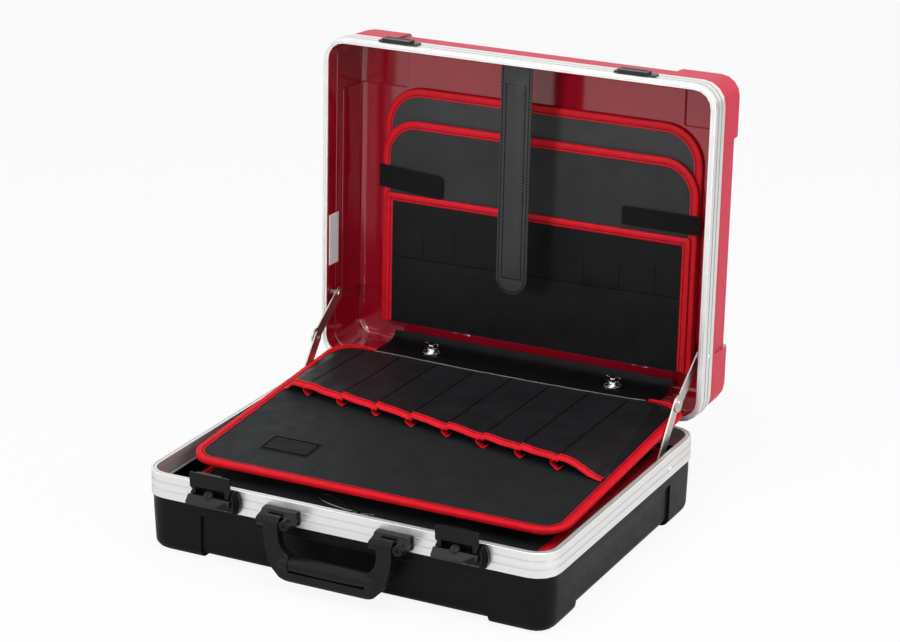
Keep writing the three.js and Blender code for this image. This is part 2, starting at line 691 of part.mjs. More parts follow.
// Pockets between sewn seams, standing open along a slanted mouth and flat at the back hem.
// Board plane at z = 0.
function pocketPanel() {
  const seams = range(POCKET_COUNT).map((seam) => POCKET_FIRST + seam * POCKET_PITCH);
  const edges = [POCKET_LEFT, ...seams, POCKET_RIGHT];
  const crowns = edges.slice(0, -1).flatMap((left, index) => {
    const right = edges[index + 1];
    const steps = index === 0 || index === POCKET_COUNT ? 1 : 4;
    return range(steps).map((step) => {
      const part = step / steps;
      const rise = (POCKET_CROWN - POCKET_SEAM) * Math.sqrt(Math.sin(part * Math.PI));
      return [left + part * (right - left), POCKET_SEAM + rise];
    });
  });
  const rim = [...crowns.slice(1), [POCKET_RIGHT - POCKET_END, POCKET_SEAM]];
  const top = [[POCKET_LEFT, POCKET_HEM], ...rim, [POCKET_RIGHT, POCKET_HEM]];
  const section = (y, scale) => [
    ...top.map(([x, z]) => new THREE.Vector3(x, y, z * scale)),
    new THREE.Vector3(POCKET_RIGHT, y, FIT),
    new THREE.Vector3(POCKET_LEFT, y, FIT),
  ];
  const nearest = Math.min(mouthY(POCKET_LEFT), mouthY(POCKET_RIGHT));
  const panel = loft([section(nearest - 1, 1), section(POCKET_BACK + 2, POCKET_HEM / POCKET_SEAM)]);
  const [left, right, back] = [POCKET_LEFT - 1, POCKET_RIGHT + 1, POCKET_BACK];
  const cut = prism('z', [
    [left, mouthY(left)], [right, mouthY(right)],
    [right, back - POCKET_CHAMFER], [right - POCKET_CHAMFER, back],
    [left + POCKET_CHAMFER, back], [left, back - POCKET_CHAMFER],
  ], -1, 20);
  return panel.intersect(cut);
}

// Binding along the pocket mouths, raised off the board between its ends, with the hooked edge
// of a folded pleat under it at each seam.
function pocketBinding() {
  const drop = POCKET_SEAM - POCKET_HEM;
  const path = [[POCKET_LEFT, drop], [POCKET_FIRST, 0], [POCKET_RIGHT - POCKET_END, 0], [POCKET_RIGHT, drop]];
  const rings = path.map(([x, down]) => {
    const [low, high] = [POCKET_SEAM - 4.6 - down * 0.66, POCKET_SEAM + 0.6 - down];
    const y = mouthY(x) - FIT;
    const point = (dy, z) => new THREE.Vector3(x, y - dy, z);
    return [point(0, high), point(MOUTH_WIDTH, high), point(MOUTH_WIDTH, low), point(0, low)];
  });
  const strip = loft(rings);
  const pleats = range(POCKET_COUNT).map((seam) => {
    const x = POCKET_FIRST + seam * POCKET_PITCH;
    const y = mouthY(x) - MOUTH_WIDTH;
    const hook = [
      [x - 7.4, 9], [x - 7.6, 4.6], [x + 0.6, FIT], [x + 6.4, 3],
      [x + 5.4, 4.4], [x + 0.8, 2.2], [x - 5.8, 5.6], [x - 5.6, 9],
    ];
    return prism('y', hook, y - 1.6, y + 4.4);
  });
  return joined([strip, ...pleats]);
}

function divider() {
  const top = LOWER_BOARD_Z - BOARD_PLATE - FIT;
  const bottom = FIT;
  const shape = new THREE.Shape();
  shape.moveTo(-DIVIDER_HALF, bottom);
  shape.lineTo(DIVIDER_HALF, bottom);
  shape.lineTo(DIVIDER_HALF, top);
  shape.lineTo(45, top);
  shape.quadraticCurveTo(38, top, 34, top - 8);
  shape.quadraticCurveTo(28, top - 20, 10, top - 20);
  shape.lineTo(-10, top - 20);
  shape.quadraticCurveTo(-28, top - 20, -34, top - 8);
  shape.quadraticCurveTo(-38, top, -45, top);
  shape.lineTo(-DIVIDER_HALF, top);
  return prism('x', shape, -1.5, 1.5);
}

// A thin closed wire loop for the key.
function keyRing() {
  const wire = 0.7;
  const steps = 18;
  const rings = range(steps).map((step) => {
    const turn = (step / steps) * Math.PI * 2;
    const tip = 1 - 0.35 * Math.cos(turn);
    const centre = new THREE.Vector3(27 * Math.cos(turn), 7 * Math.sin(turn) * tip, 0);
    const along = new THREE.Vector3(-27 * Math.sin(turn), 7 * Math.cos(turn) * tip, 0).normalize();
    const side = new THREE.Vector3(along.y, -along.x, 0);
    return range(5).map((point) => {
      const angle = (point / 5) * Math.PI * 2;
      return centre.clone()
        .addScaledVector(side, wire * Math.cos(angle))
        .add(new THREE.Vector3(0, 0, wire * Math.sin(angle)));
    });
  });
  return loft(rings, true);
}

function caseKey() {
  const bow = prism('z', arc([0, 0], 5.5, 0, 360, 12).slice(0, -1), 0, 1.8);
  const blade = prism('z', [
    [-1.6, -4], [1.6, -4], [1.6, -17], [0, -18.5], [-1.6, -16], [-0.6, -13], [-1.6, -11],
  ], 0, 1.8);
  const hole = rod('z', 2.2, -1, 3, [0, 1.2], 10);
  return bow.add(blade).subtract(hole);
}

// Lid lining, drawn in the closed lid

function boardFlap() {
  const inside = [[11.2, 15.4], [11.2, 49], [13.6, 58], [22, 65.2], [29.4, 66.6]];
  const outside = [[29.2, 68.2], [21, 66.9], [12.2, 59.2], [9.6, 49.4], [9.6, 15.4]];
  const section = [...inside, ...outside].map(([s, q]) => [lidY(s), lidZ(q)]);
  return prism('x', section, -FLAP_HALF, FLAP_HALF);
}

function studBase() {
  return turned('y', [
    [0, 0], [10.5, 0], [10.5, -1], [9.2, -2], [5, -2.2], [4.4, -4.6], [0, -4.6],
  ], [0, 0], 16);
}

function studWing() {
  const wing = prism('z', [
    [-8.6, -4], [-7.4, -6.4], [-4, -6], [-2.4, -4], [2.4, -4], [4, -6], [7.4, -6.4], [8.6, -4],
    [8.2, -1.4], [4.2, 0], [-4.2, 0], [-8.2, -1.4],
  ], -1.3, 1.3);
  return wing.add(rod('y', 3.2, -3.4, 0, [0, 0]));
}

const organiserPlan = (low, high, radius, narrow) => ({
  left: -ORGANISER_HALF + narrow,
  right: ORGANISER_HALF - narrow,
  front: lidY(high),
  back: lidY(low),
  radii: [radius, radius, 8, 8],
});

function organiserTab(left, right, low, high, freeRight) {
  const radius = (high - low) / 2;
  const middle = lidY((low + high) / 2);
  const freeEnd = freeRight
    ? [...arc([right - radius, middle], radius, -90, 90, 6), [left, lidY(low)], [left, lidY(high)]]
    : [...arc([left + radius, middle], radius, 90, 270, 6), [right, lidY(high)], [right, lidY(low)]];
  return prism('z', freeEnd, lidZ(POCKET_LAYER_Q + 0.2), lidZ(POCKET_LAYER_Q + 1.7));
}

function centreStrap() {
  const end = 106 + STRAP_HALF;
  const strap = [
    [-STRAP_HALF, lidY(359)], [STRAP_HALF, lidY(359)],
    ...arc([0, lidY(end)], STRAP_HALF, 0, 180, 10),
  ];
  const patch = [[-10, lidY(336)], [10, lidY(336)], ...arc([0, lidY(127)], 10, 0, 180, 8)];
  return prism('z', strap, lidZ(7.6), lidZ(10)).add(prism('z', patch, lidZ(6.8), lidZ(8)));
}

// Assembly

function baseBody() {
  const group = new THREE.Group();
  group.add(mesh('base_shell', tray(BASE_HEIGHT, -WALL), COLOURS.blackPlastic));
  group.add(mesh('base_frame', baseFrame(), COLOURS.aluminium));
  for (const [side, x] of [['left', -HINGE_SPACING], ['right', HINGE_SPACING]]) {
    group.add(mesh(`hinge_${side}_base_leaf`, hingeLeaf(x, true), COLOURS.steel));
    group.add(mesh(`hinge_${side}_pin`, hingePin(x), COLOURS.steel));
  }
  for (const [side, sign] of [['left', -1], ['right', 1]]) {
    const bracket = mesh(`handle_bracket_${side}`, handleBracket(), COLOURS.blackPlastic);
    bracket.position.x = sign * HANDLE_SPACING;
    const pin = mesh(`handle_pin_${side}`, handlePin(), COLOURS.blackPlastic);
    pin.position.x = sign * HANDLE_SPACING;
    const rivet = stayRivet(STAY_LOWER_X, STAY_BASE, sign);
    const wall = mesh(`divider_${side}`, divider(), COLOURS.leatherBoard);
    wall.position.x = sign * DIVIDER_X;
    group.add(bracket, pin, mesh(`stay_base_rivet_${side}`, rivet, COLOURS.steel), wall);
  }
  const boardZ = LOWER_BOARD_Z - BOARD_PLATE / 2;
  group.add(mesh('lower_board', boardPlate(LOWER_BOARD, boardZ), COLOURS.leatherBoard));
  group.add(mesh('lower_board_binding', binding(LOWER_BOARD, boardZ), COLOURS.redBinding));
  const loop = mesh('key_ring', keyRing(), COLOURS.steel);
  loop.position.set(-38, -121, LOWER_BOARD_Z + 1.1);
  loop.rotation.z = -0.39;
  const key = mesh('case_key', caseKey(), COLOURS.steel);
  key.position.set(-6.5, -136.5, LOWER_BOARD_Z + FIT);
  key.rotation.z = 1.9;
  group.add(loop, key);
  return group;
}

function handleBody() {
  const group = new THREE.Group();
  group.add(mesh('handle_bail', handleBail(), COLOURS.blackPlastic));
  group.add(mesh('handle_grip', handleGrip(), COLOURS.blackPlastic));
  return group;
}

// Where the claw's pivot is for a lever turned open by an angle, as [y, z].
function clawPivot(angle) {
  const swing = angle - CLAW_LEAD;
  return [out(PIVOT_OUT + CLAW_ARM * Math.sin(swing)), PIVOT_Z - CLAW_ARM * Math.cos(swing)];
}

function latch(side, x) {
  const group = new THREE.Group();
  group.position.x = x;
  const lever = new THREE.Group();
  lever.position.set(0, out(PIVOT_OUT), PIVOT_Z);
  lever.rotation.x = -LATCH_OPEN;
  const lock = mesh(`lock_cylinder_${side}`, lockCylinder(), COLOURS.steel);
  lock.position.set(LOCK_X, 0, -LOCK_DROP);
  lever.add(mesh(`latch_lever_${side}`, latchLever(), COLOURS.blackPlastic), lock);
  const claw = mesh(`latch_claw_${side}`, latchClaw(), COLOURS.blackPlastic);
  claw.position.set(0, ...clawPivot(LATCH_OPEN));
  group.add(mesh(`latch_housing_${side}`, latchHousing(), COLOURS.blackPlastic), lever, claw);
  return group;
}

function stays() {
  const group = new THREE.Group();
  for (const [side, sign] of [['left', -1], ['right', 1]]) {
    const lidPivot = openPoint(STAY_LID);
    group.add(placedLink(`stay_lower_link_${side}`, STAY_BASE, STAY_KNEE, STAY_LOWER_X, false, sign));
    group.add(placedLink(`stay_upper_link_${side}`, lidPivot, STAY_KNEE, STAY_UPPER_X, true, sign));
  }
  return group;
}

// Where a point of the closed lid, as [y, z], is with the lid open.
function openPoint([y, z]) {
  const [dy, dz] = [y - HINGE_Y, z - BASE_HEIGHT];
  const [c, s] = [Math.cos(LID_OPEN), Math.sin(LID_OPEN)];
  return [HINGE_Y + dy * c + dz * s, BASE_HEIGHT - dy * s + dz * c];
}

function lidBody() {
  const hung = new THREE.Group();
  hung.position.set(0, HINGE_Y, BASE_HEIGHT);
  hung.rotation.x = -LID_OPEN;
  const group = new THREE.Group();
  group.position.set(0, -HINGE_Y, -BASE_HEIGHT);
  hung.add(group);
  group.add(mesh('lid_shell', lidTray(), COLOURS.redPlastic));
  group.add(mesh('lid_frame', lidFrame(), COLOURS.aluminium));
  for (const [side, x] of [['left', -HINGE_SPACING], ['right', HINGE_SPACING]]) {
    group.add(mesh(`hinge_${side}_lid_leaf`, hingeLeaf(x, false), COLOURS.steel));
  }
  for (const [side, x] of LATCH_CENTRES) {
    const keeper = mesh(`strike_${side}`, strike(), COLOURS.blackPlastic);
    keeper.position.x = x;
    group.add(keeper);
  }
  for (const [side, sign] of [['left', -1], ['right', 1]]) {
    const rivet = stayRivet(STAY_UPPER_X, STAY_LID, sign);
    group.add(mesh(`stay_lid_rivet_${side}`, rivet, COLOURS.steel));
    const base = mesh(`turn_stud_base_${side}`, studBase(), COLOURS.steel);
    base.position.set(sign * STUD_X, lidY(11.2 + FIT), lidZ(STUD_Q));
    const wing = mesh(`turn_stud_wing_${side}`, studWing(), COLOURS.steel);
    wing.position.set(sign * STUD_X, lidY(11.2 + FIT + 4.6 + FIT), lidZ(STUD_Q));
    group.add(base, wing);
  }
  group.add(mesh('board_flap', boardFlap(), COLOURS.pocketCloth));
  const layers = [
    ['organiser_back', organiserPlan(31, 303, 45, 0), BACK_LAYER_Q],
    ['organiser_front', organiserPlan(31, 267, 42, 0.5), FRONT_LAYER_Q],
  ];
  for (const [name, plan, q] of layers) {
    group.add(mesh(`${name}_board`, boardPlate(plan, lidZ(q)), COLOURS.leatherBoard));
    group.add(mesh(`${name}_binding`, binding(plan, lidZ(q)), COLOURS.redBinding));
  }
  const pocket = organiserPlan(33, 182.5, 4, 0.8);
  const cloth = prism('z', outline(pocket, 4), lidZ(POCKET_LAYER_Q), lidZ(POCKET_LAYER_Q + 1.6));
  group.add(mesh('organiser_pocket', cloth, COLOURS.pocketCloth));
  const edge = [[0, 0], [0, 1.7], [3.7, 1.7], [3.7, -0.6], [1, -0.8]];
  group.add(mesh('organiser_pocket_binding', rim(pocket, edge.map(([inset, step]) => (
    [inset, lidZ(POCKET_LAYER_Q + step)]
  ))), COLOURS.redBinding));
  group.add(mesh('organiser_tab_left', organiserTab(-189, -111, 188, 213, true), COLOURS.pocketCloth));
  group.add(mesh('organiser_tab_right', organiserTab(103, 190, 187, 208, false), COLOURS.pocketCloth));
  group.add(mesh('centre_strap', centreStrap(), COLOURS.leatherBoard));
  return hung;
}

function toolBoardBody() {
  const group = new THREE.Group();
  group.position.set(0, 0, BOARD_TOP_Z);
  group.rotation.x = BOARD_SLOPE;
  const middle = -TOOL_PLATE / 2;
  const edge = binding(TOOL_BOARD, middle, TOOL_PLATE);
  group.add(mesh('tool_board', boardPlate(TOOL_BOARD, middle, TOOL_PLATE), COLOURS.leatherBoard));
  group.add(mesh('tool_board_binding', edge, COLOURS.redBinding));
  group.add(mesh('tool_pocket_panel', pocketPanel(), COLOURS.pocketCloth));
  group.add(mesh('tool_pocket_binding', pocketBinding(), COLOURS.redBinding));
  return group;
}

function foldStrip() {
  const centre = openPoint([lidY(FOLD_S), lidZ(FOLD_Q)]);
  const strip = rod('x', FOLD_RADIUS, -FLAP_HALF, FLAP_HALF, centre, 8);
  return mesh('flap_fold', strip, COLOURS.pocketCloth);
}

const toolCase = new THREE.Group();
toolCase.add(baseBody(), handleBody(), lidBody(), toolBoardBody(), foldStrip(), stays());
for (const [side, x] of LATCH_CENTRES) {
  toolCase.add(latch(side, x));
}

toolCase.position.z = WALL;

export default toolCase;
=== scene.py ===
# Looks of a hard tool case standing open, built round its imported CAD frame.
# Sizes in this script are millimetres; Blender's own objects are in metres.
from itertools import pairwise
from math import atan, ceil, copysign, cos, dist, hypot, pi, radians, sin

import bpy
import bmesh
from mathutils import Matrix, Vector, noise


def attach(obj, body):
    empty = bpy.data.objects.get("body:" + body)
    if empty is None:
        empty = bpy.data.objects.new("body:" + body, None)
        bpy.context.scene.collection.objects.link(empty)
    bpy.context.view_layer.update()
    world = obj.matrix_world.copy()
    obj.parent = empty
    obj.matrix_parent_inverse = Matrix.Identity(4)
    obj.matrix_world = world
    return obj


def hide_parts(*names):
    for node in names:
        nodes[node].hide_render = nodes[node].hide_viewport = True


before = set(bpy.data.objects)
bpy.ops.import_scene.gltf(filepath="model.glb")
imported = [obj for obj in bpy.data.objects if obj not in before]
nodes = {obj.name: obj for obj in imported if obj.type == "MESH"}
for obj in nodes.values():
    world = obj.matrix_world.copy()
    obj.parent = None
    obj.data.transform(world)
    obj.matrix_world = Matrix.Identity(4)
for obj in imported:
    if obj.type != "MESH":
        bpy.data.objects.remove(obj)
scene = bpy.context.scene
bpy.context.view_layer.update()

MM = 0.001

# The case: heights are drawn from its inner floor, which lies a little over the frame's origin
RAISE = 2.4
FLOOR_Z = -3.0
HALF_WIDTH = 230.0
HALF_DEPTH = 183.0
RIM_TOP = 80.8
# Height of the outer band of each rim frame
FRAME_BAND = 26.0

# The lid stands open round its hinge, given as (y, z); closed, its mating face has the height LID_MATE
LID_OPEN = radians(92)
HINGE = (186.5, 81.0)
LID_MATE = 81.2

# The boards: the tool board slopes, and each top is the height of a covering
BOARD_SLOPE = atan(0.0644)
BOARD_TOP = 86.9
LOWER_TOP = 58.8
BOARD_PLATE = 2.6
TOOL_PLATE = 4.6

# Plans of boards: half the width, front, back, and the radii of the front and back corners
TOOL_BOARD = (214, -127, 199, 30, 30)
LOWER_BOARD = (202, -155, 172, 22, 22)
LID_RIM = (HALF_WIDTH, -HALF_DEPTH, HALF_DEPTH, 25, 25)


# Places

def place(x, y, z):
    """A point of the case, its height drawn from the inner floor."""
    return Vector((x * MM, y * MM, (z + RAISE) * MM))


def on_board(x, y, z):
    """A point in the plane of the sloping tool board, z above its covering."""
    c, s = cos(BOARD_SLOPE), sin(BOARD_SLOPE)
    return place(x, y * c - z * s, BOARD_TOP + y * s + z * c)


def on_lower(x, y, z):
    """A point z above the lower board's covering."""
    return place(x, y, LOWER_TOP + z)


def in_lid(x, s, q):
    """A point of the open lid: s from its rear edge, q into the lid from its mating face."""
    dy, dz = HALF_DEPTH - s - HINGE[0], LID_MATE + q - HINGE[1]
    c, k = cos(LID_OPEN), sin(LID_OPEN)
    return place(x, HINGE[0] + dy * c + dz * k, HINGE[1] - dy * k + dz * c)


BOARD_UP = on_board(0, 0, 1) - on_board(0, 0, 0)
LID_OUT = in_lid(0, 0, -1) - in_lid(0, 0, 0)


# Plain shapes

def clamp(value):
    return min(1.0, max(0.0, value))


def ease(value):
    """A soft step from 0 to 1."""
    value = clamp(value)
    return value * value * (3 - 2 * value)


def along(start, end, steps):
    """Numbers in equal steps from start to end, both included."""
    return [start + (end - start) * t / steps for t in range(steps + 1)]


def between(start, end, steps):
    """Pairs in equal steps along a straight line, both of its ends included."""
    return list(zip(along(start[0], end[0], steps), along(start[1], end[1], steps)))


def arc(x, y, radius, start, end, steps):
    """Pairs in equal steps round a centre, between two angles."""
    return [(x + radius * cos(a), y + radius * sin(a)) for a in along(start, end, steps)]


def circle(x, y, radius, count):
    return arc(x, y, radius, 0, 2 * pi, count)[:-1]


def across(line, i):
    """The unit vector square to a line of pairs at one of its points."""
    ax, ay = line[max(i - 1, 0)]
    bx, by = line[min(i + 1, len(line) - 1)]
    length = hypot(bx - ax, by - ay)
    return (by - ay) / length, -(bx - ax) / length


def smoothed(path):
    """Pairs along a smooth curve through the pairs of a path."""
    last = len(path) - 1
    points = []
    for i in range(last):
        before, a, b, after = path[max(i - 1, 0)], path[i], path[i + 1], path[min(i + 2, last)]
        for t in (0.0, 0.33, 0.67):
            points.append(tuple(
                0.5 * (2 * a[n] + (b[n] - before[n]) * t
                       + (2 * before[n] - 5 * a[n] + 4 * b[n] - after[n]) * t * t
                       + (3 * a[n] - before[n] - 3 * b[n] + after[n]) * t ** 3)
                for n in (0, 1)))
    return points + [path[-1]]


def pucker(a, b, amount, scale):
    """A smooth uneven height of up to about the amount, the same in each run."""
    slice_height = 3.1
    return amount * noise.noise(Vector((a * scale, b * scale, slice_height)))


def outline(plan, inset, arc_steps, straight):
    """Points round a board's plan, moved inwards by inset, the same count for any inset."""
    half, front, back, near, far = plan
    corners = ((-half, front, near), (half, front, near), (half, back, far), (-half, back, far))
    bends = []
    for corner, (x, y, rounding) in enumerate(corners):
        radius = max(rounding - inset, 0.6)
        cx = x - copysign(inset + radius, x)
        cy = y + (inset + radius) * (1 if corner < 2 else -1)
        start = pi + corner * pi / 2
        bends.append(arc(cx, cy, radius, start, start + pi / 2, arc_steps))
    points = []
    for bend, following in zip(bends, bends[1:] + bends[:1]):
        points += bend + between(bend[-1], following[0], straight)[1:-1]
    return points


def arch(plan, inset, arc_steps, straight):
    """Points up one side of a plan, over its front edge and down the other side."""
    points = outline(plan, inset, arc_steps, straight)
    over = 2 * (arc_steps + straight)
    half, _, back, _, _ = plan
    return [(inset - half, back), *points[-(straight - 1):], *points[:over + 1], (half - inset, back)]


# Meshes

def skin(rings, looped=False):
    """Vertices and faces of a closed skin over rings that have the same number of points."""
    count = len(rings[0])
    verts = [p for ring in rings for p in ring]
    faces = []
    last = len(rings)
    for i in range(last if looped else last - 1):
        j = (i + 1) % last
        for k in range(count):
            n = (k + 1) % count
            faces.append((i * count + k, i * count + n, j * count + n, j * count + k))
    if not looped:
        faces.append(tuple(range(count - 1, -1, -1)))
        faces.append(tuple((last - 1) * count + k for k in range(count)))
    return verts, faces


def slab(upper, lower):
    """A closed sheet between two grids of points of the same size."""
    rows, cols = len(upper), len(upper[0])
    verts = [p for grid in (upper, lower) for row in grid for p in row]
    half = rows * cols
    faces = []
    for i in range(rows - 1):
        for j in range(cols - 1):
            a, b = i * cols + j, (i + 1) * cols + j
            faces.append((a, a + 1, b + 1, b))
            faces.append((half + a, half + b, half + b + 1, half + a + 1))
    # Once round the edge of the grid
    edge = [*range(cols), *range(2 * cols - 1, half, cols)]
    edge += [*range(half - 2, half - cols - 1, -1), *range(half - 2 * cols, 0, -cols)]
    for a, b in zip(edge, edge[1:] + edge[:1]):
        faces.append((a, half + a, half + b, b))
    return verts, faces


def sheet(rows, cols, both_faces):
    """A closed sheet from a function that gives its upper and lower point for a row and column."""
    pairs = [[both_faces(row, col) for col in cols] for row in rows]
    return slab(*([[pair[n] for pair in row] for row in pairs] for n in (0, 1)))


def follow(section, path, plan, steps, to_frame):
    """Rings of a section, given as (inset, level), that runs along a path round a plan."""
    loops = [path(plan, inset, *steps) for inset, _ in section]
    return [[to_frame(*point, level) for point, (_, level) in zip(ring, section)] for ring in zip(*loops)]


def merged(parts):
    """Several lists of vertices and faces as one."""
    verts, faces = [], []
    for part_verts, part_faces in parts:
        shift = len(verts)
        verts += list(part_verts)
        faces += [tuple(i + shift for i in face) for face in part_faces]
    return verts, faces


def add_mesh(name, shape, material, body, replaced=None, split=40, smooth=True):
    """One closed piece with its faces turned outwards, riding on a body."""
    verts, faces = shape
    mesh = bpy.data.meshes.new(name)
    mesh.from_pydata([tuple(v) for v in verts], [], faces)
    work = bmesh.new()
    work.from_mesh(mesh)
    bmesh.ops.remove_doubles(work, verts=work.verts, dist=1e-7)
    bmesh.ops.recalc_face_normals(work, faces=work.faces)
    work.to_mesh(mesh)
    work.free()
    for polygon in mesh.polygons:
        polygon.use_smooth = smooth
    if smooth:
        mesh.set_sharp_from_angle(angle=radians(split))
    mesh.materials.append(material)
    piece = bpy.data.objects.new(name, mesh)
    scene.collection.objects.link(piece)
    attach(piece, body)
    if replaced:
        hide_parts(replaced)
    return piece


# Nodes of materials

def feed(value, socket):
    """Sets a socket to a value or a colour, or links another socket to it."""
    if isinstance(value, bpy.types.NodeSocket):
        socket.id_data.links.new(value, socket)
    elif socket.type == "RGBA":
        socket.default_value = (*value, 1)
    else:
        socket.default_value = value


def add_node(tree, kind, inputs, output, **settings):
    """A node with its settings and fed inputs; gives one of its outputs."""
    added = tree.nodes.new(kind)
    for setting, value in settings.items():
        setattr(added, setting, value)
    for name, value in inputs.items():
        feed(value, added.inputs[name])
    return added.outputs[output]


def calculate(operation, *values):
    tree = values[0].id_data
    return add_node(tree, "ShaderNodeMath", dict(enumerate(values)), "Value", operation=operation)


def calculate_vector(operation, first, second, output="Vector"):
    inputs = {0: first, 1: second}
    return add_node(first.id_data, "ShaderNodeVectorMath", inputs, output, operation=operation)


def object_place(tree, stretch=(1, 1, 1), tilt=0.0):
    at = add_node(tree, "ShaderNodeTexCoord", {}, "Object")
    inputs = {"Vector": at, "Scale": stretch, "Rotation": (tilt, 0, 0)}
    return add_node(tree, "ShaderNodeMapping", inputs, "Vector")


def noise_value(at, scale, detail=3.0):
    inputs = {"Vector": at, "Scale": scale, "Detail": detail}
    return add_node(at.id_data, "ShaderNodeTexNoise", inputs, "Fac")


def cell_value(at, scale, feature="DISTANCE_TO_EDGE"):
    inputs = {"Vector": at, "Scale": scale}
    return add_node(at.id_data, "ShaderNodeTexVoronoi", inputs, "Distance", feature=feature)


def spread(value, low, high, from_low=0.3, from_high=0.7):
    """A value's range from_low to from_high stretched to low to high, and held there."""
    inputs = {"Value": value, "From Min": from_low, "From Max": from_high, "To Min": low, "To Max": high}
    return add_node(value.id_data, "ShaderNodeMapRange", inputs, "Result")


def mix_colours(factor, first, second):
    inputs = {"Factor": factor, "A": first, "B": second}
    return add_node(factor.id_data, "ShaderNodeMix", inputs, "Result", data_type="RGBA")


def new_material(name, colour, roughness, metallic=0.0, specular=0.5):
    """A material with its node tree and its shader."""
    material = bpy.data.materials.new(name)
    material.use_nodes = True
    shader = material.node_tree.nodes["Principled BSDF"]
    feed(colour, shader.inputs["Base Color"])
    feed(roughness, shader.inputs["Roughness"])
    feed(metallic, shader.inputs["Metallic"])
    feed(specular, shader.inputs["Specular IOR Level"])
    return material, material.node_tree, shader


def mottle(shader, value, colour, worn, from_low=0.3, from_high=0.7):
    """Patches of a worn colour where a noise value is high."""
    share = spread(value, 0, 1, from_low, from_high)
    feed(mix_colours(share, colour, worn), shader.inputs["Base Color"])


def vary_gloss(shader, value, low, high):
    feed(spread(value, low, high), shader.inputs["Roughness"])


def bumps(shader, layers, rounded=0.0):
    """Chained bumps from (height, strength, depth in mm), over edges rounded by some mm."""
    tree, normal = shader.id_data, None
    if rounded:
        normal = add_node(tree, "ShaderNodeBevel", {"Radius": rounded * MM}, "Normal", samples=4)
    for height, strength, depth in layers:
        inputs = {"Strength": strength, "Distance": depth * MM, "Height": height}
        if normal is not None:
            inputs["Normal"] = normal
        normal = add_node(tree, "ShaderNodeBump", inputs, "Normal")
    feed(normal, shader.inputs["Normal"])


# Kinds of material

def moulded(name, colour, worn, roughness, specular, rounded=0.6, grain=2600.0, depth=0.03):
    """Moulded plastic: fine spark grain, faint flow marks and slightly lighter rubbed patches."""
    material, tree, shader = new_material(name, colour, roughness, 0.0, specular)
    at = object_place(tree)
    mottle(shader, noise_value(at, 38, 4), colour, worn, 0.42, 0.72)
    vary_gloss(shader, noise_value(at, 90), roughness - 0.05, roughness + 0.06)
    bumps(shader, [
        (noise_value(at, grain, 2), 0.35, depth),
        (noise_value(at, 14, 2), 0.25, 0.35),
    ], rounded)
    return material


def metal(name, colour, roughness, scratches=0.2):
    """Bare or plated metal with uneven gloss and fine scratches."""
    material, tree, shader = new_material(name, colour, roughness, 1.0)
    at = object_place(tree)
    mottle(shader, noise_value(at, 160, 4), colour, tuple(c * 0.93 for c in colour))
    vary_gloss(shader, noise_value(at, 120), roughness * 0.92, roughness * 1.12)
    bumps(shader, [(noise_value(at, 1900, 2), scratches, 0.006)], 0.3)
    return material


def leathered(name, colour, worn, roughness, specular, cells=900.0, depth=0.10, creases=0.2):
    """Grained covering: small pebbles between fine creases, with soft tone changes."""
    material, tree, shader = new_material(name, colour, roughness, 0.0, specular)
    at = object_place(tree)
    mottle(shader, noise_value(at, 26, 4), colour, worn)
    vary_gloss(shader, noise_value(at, 55), roughness - 0.06, roughness + 0.08)
    bumps(shader, [
        (cell_value(at, cells), 0.5, depth),
        (noise_value(at, cells * 2.2, 2), 0.3, depth * 0.5),
        (noise_value(at, 30), creases, 0.6),
    ])
    return material


def woven(name, colour, worn, roughness, sheen, threads=1500.0, depth=0.12):
    """Narrow woven tape: a fine rib with uneven dye."""
    material, tree, shader = new_material(name, colour, roughness, 0.0, 0.16)
    feed(sheen, shader.inputs["Sheen Weight"])
    at = object_place(tree)
    mottle(shader, noise_value(at, 140, 4), colour, worn)
    bumps(shader, [
        (cell_value(at, threads, "F1"), 0.6, depth),
        (noise_value(at, 260), 0.35, 0.35),
    ])
    return material


def lid_red():
    """The lid's plastic: grained and rosier outside; smooth, deep and glossy inside, where the darker colour
    is painted shade.
    """
    outside = (0.60, 0.010, 0.050)
    # The inside colours are far darker than the outside one: painted shade for the dimmer inner walls,
    # varied in random patches.
    inside, inside_worn = (0.22, 0.0025, 0.010), (0.27, 0.003, 0.013)
    lid_middle = in_lid(0, HALF_DEPTH, 12)
    material, tree, shader = new_material("lid_red_plastic", outside, 0.3)
    at = object_place(tree)
    normal = add_node(tree, "ShaderNodeTexCoord", {}, "Normal")
    away = calculate_vector("SUBTRACT", at, lid_middle)
    facing = calculate_vector("DOT_PRODUCT", away, normal, "Value")
    is_outside = spread(facing, 0, 1, -0.004, 0.004)
    shade = mix_colours(spread(noise_value(at, 9), 0, 1), inside, inside_worn)
    feed(mix_colours(is_outside, shade, outside), shader.inputs["Base Color"])
    feed(spread(is_outside, 0.13, 0.5, 0, 1), shader.inputs["Roughness"])
    feed(spread(is_outside, 0.75, 0, 0, 1), shader.inputs["Coat Weight"])
    feed(0.1, shader.inputs["Coat Roughness"])
    grain = calculate("MULTIPLY", cell_value(at, 1100, "SMOOTH_F1"), is_outside)
    bumps(shader, [(grain, 0.5, 0.12), (noise_value(at, 11, 2), 0.3, 0.5)], 0.8)
    return material


# Half the width of the painted shade along a groove of a rim frame, and of its darkest part
GROOVE_SHADE_HALF, GROOVE_SHADE_CORE = 1.3, 0.4


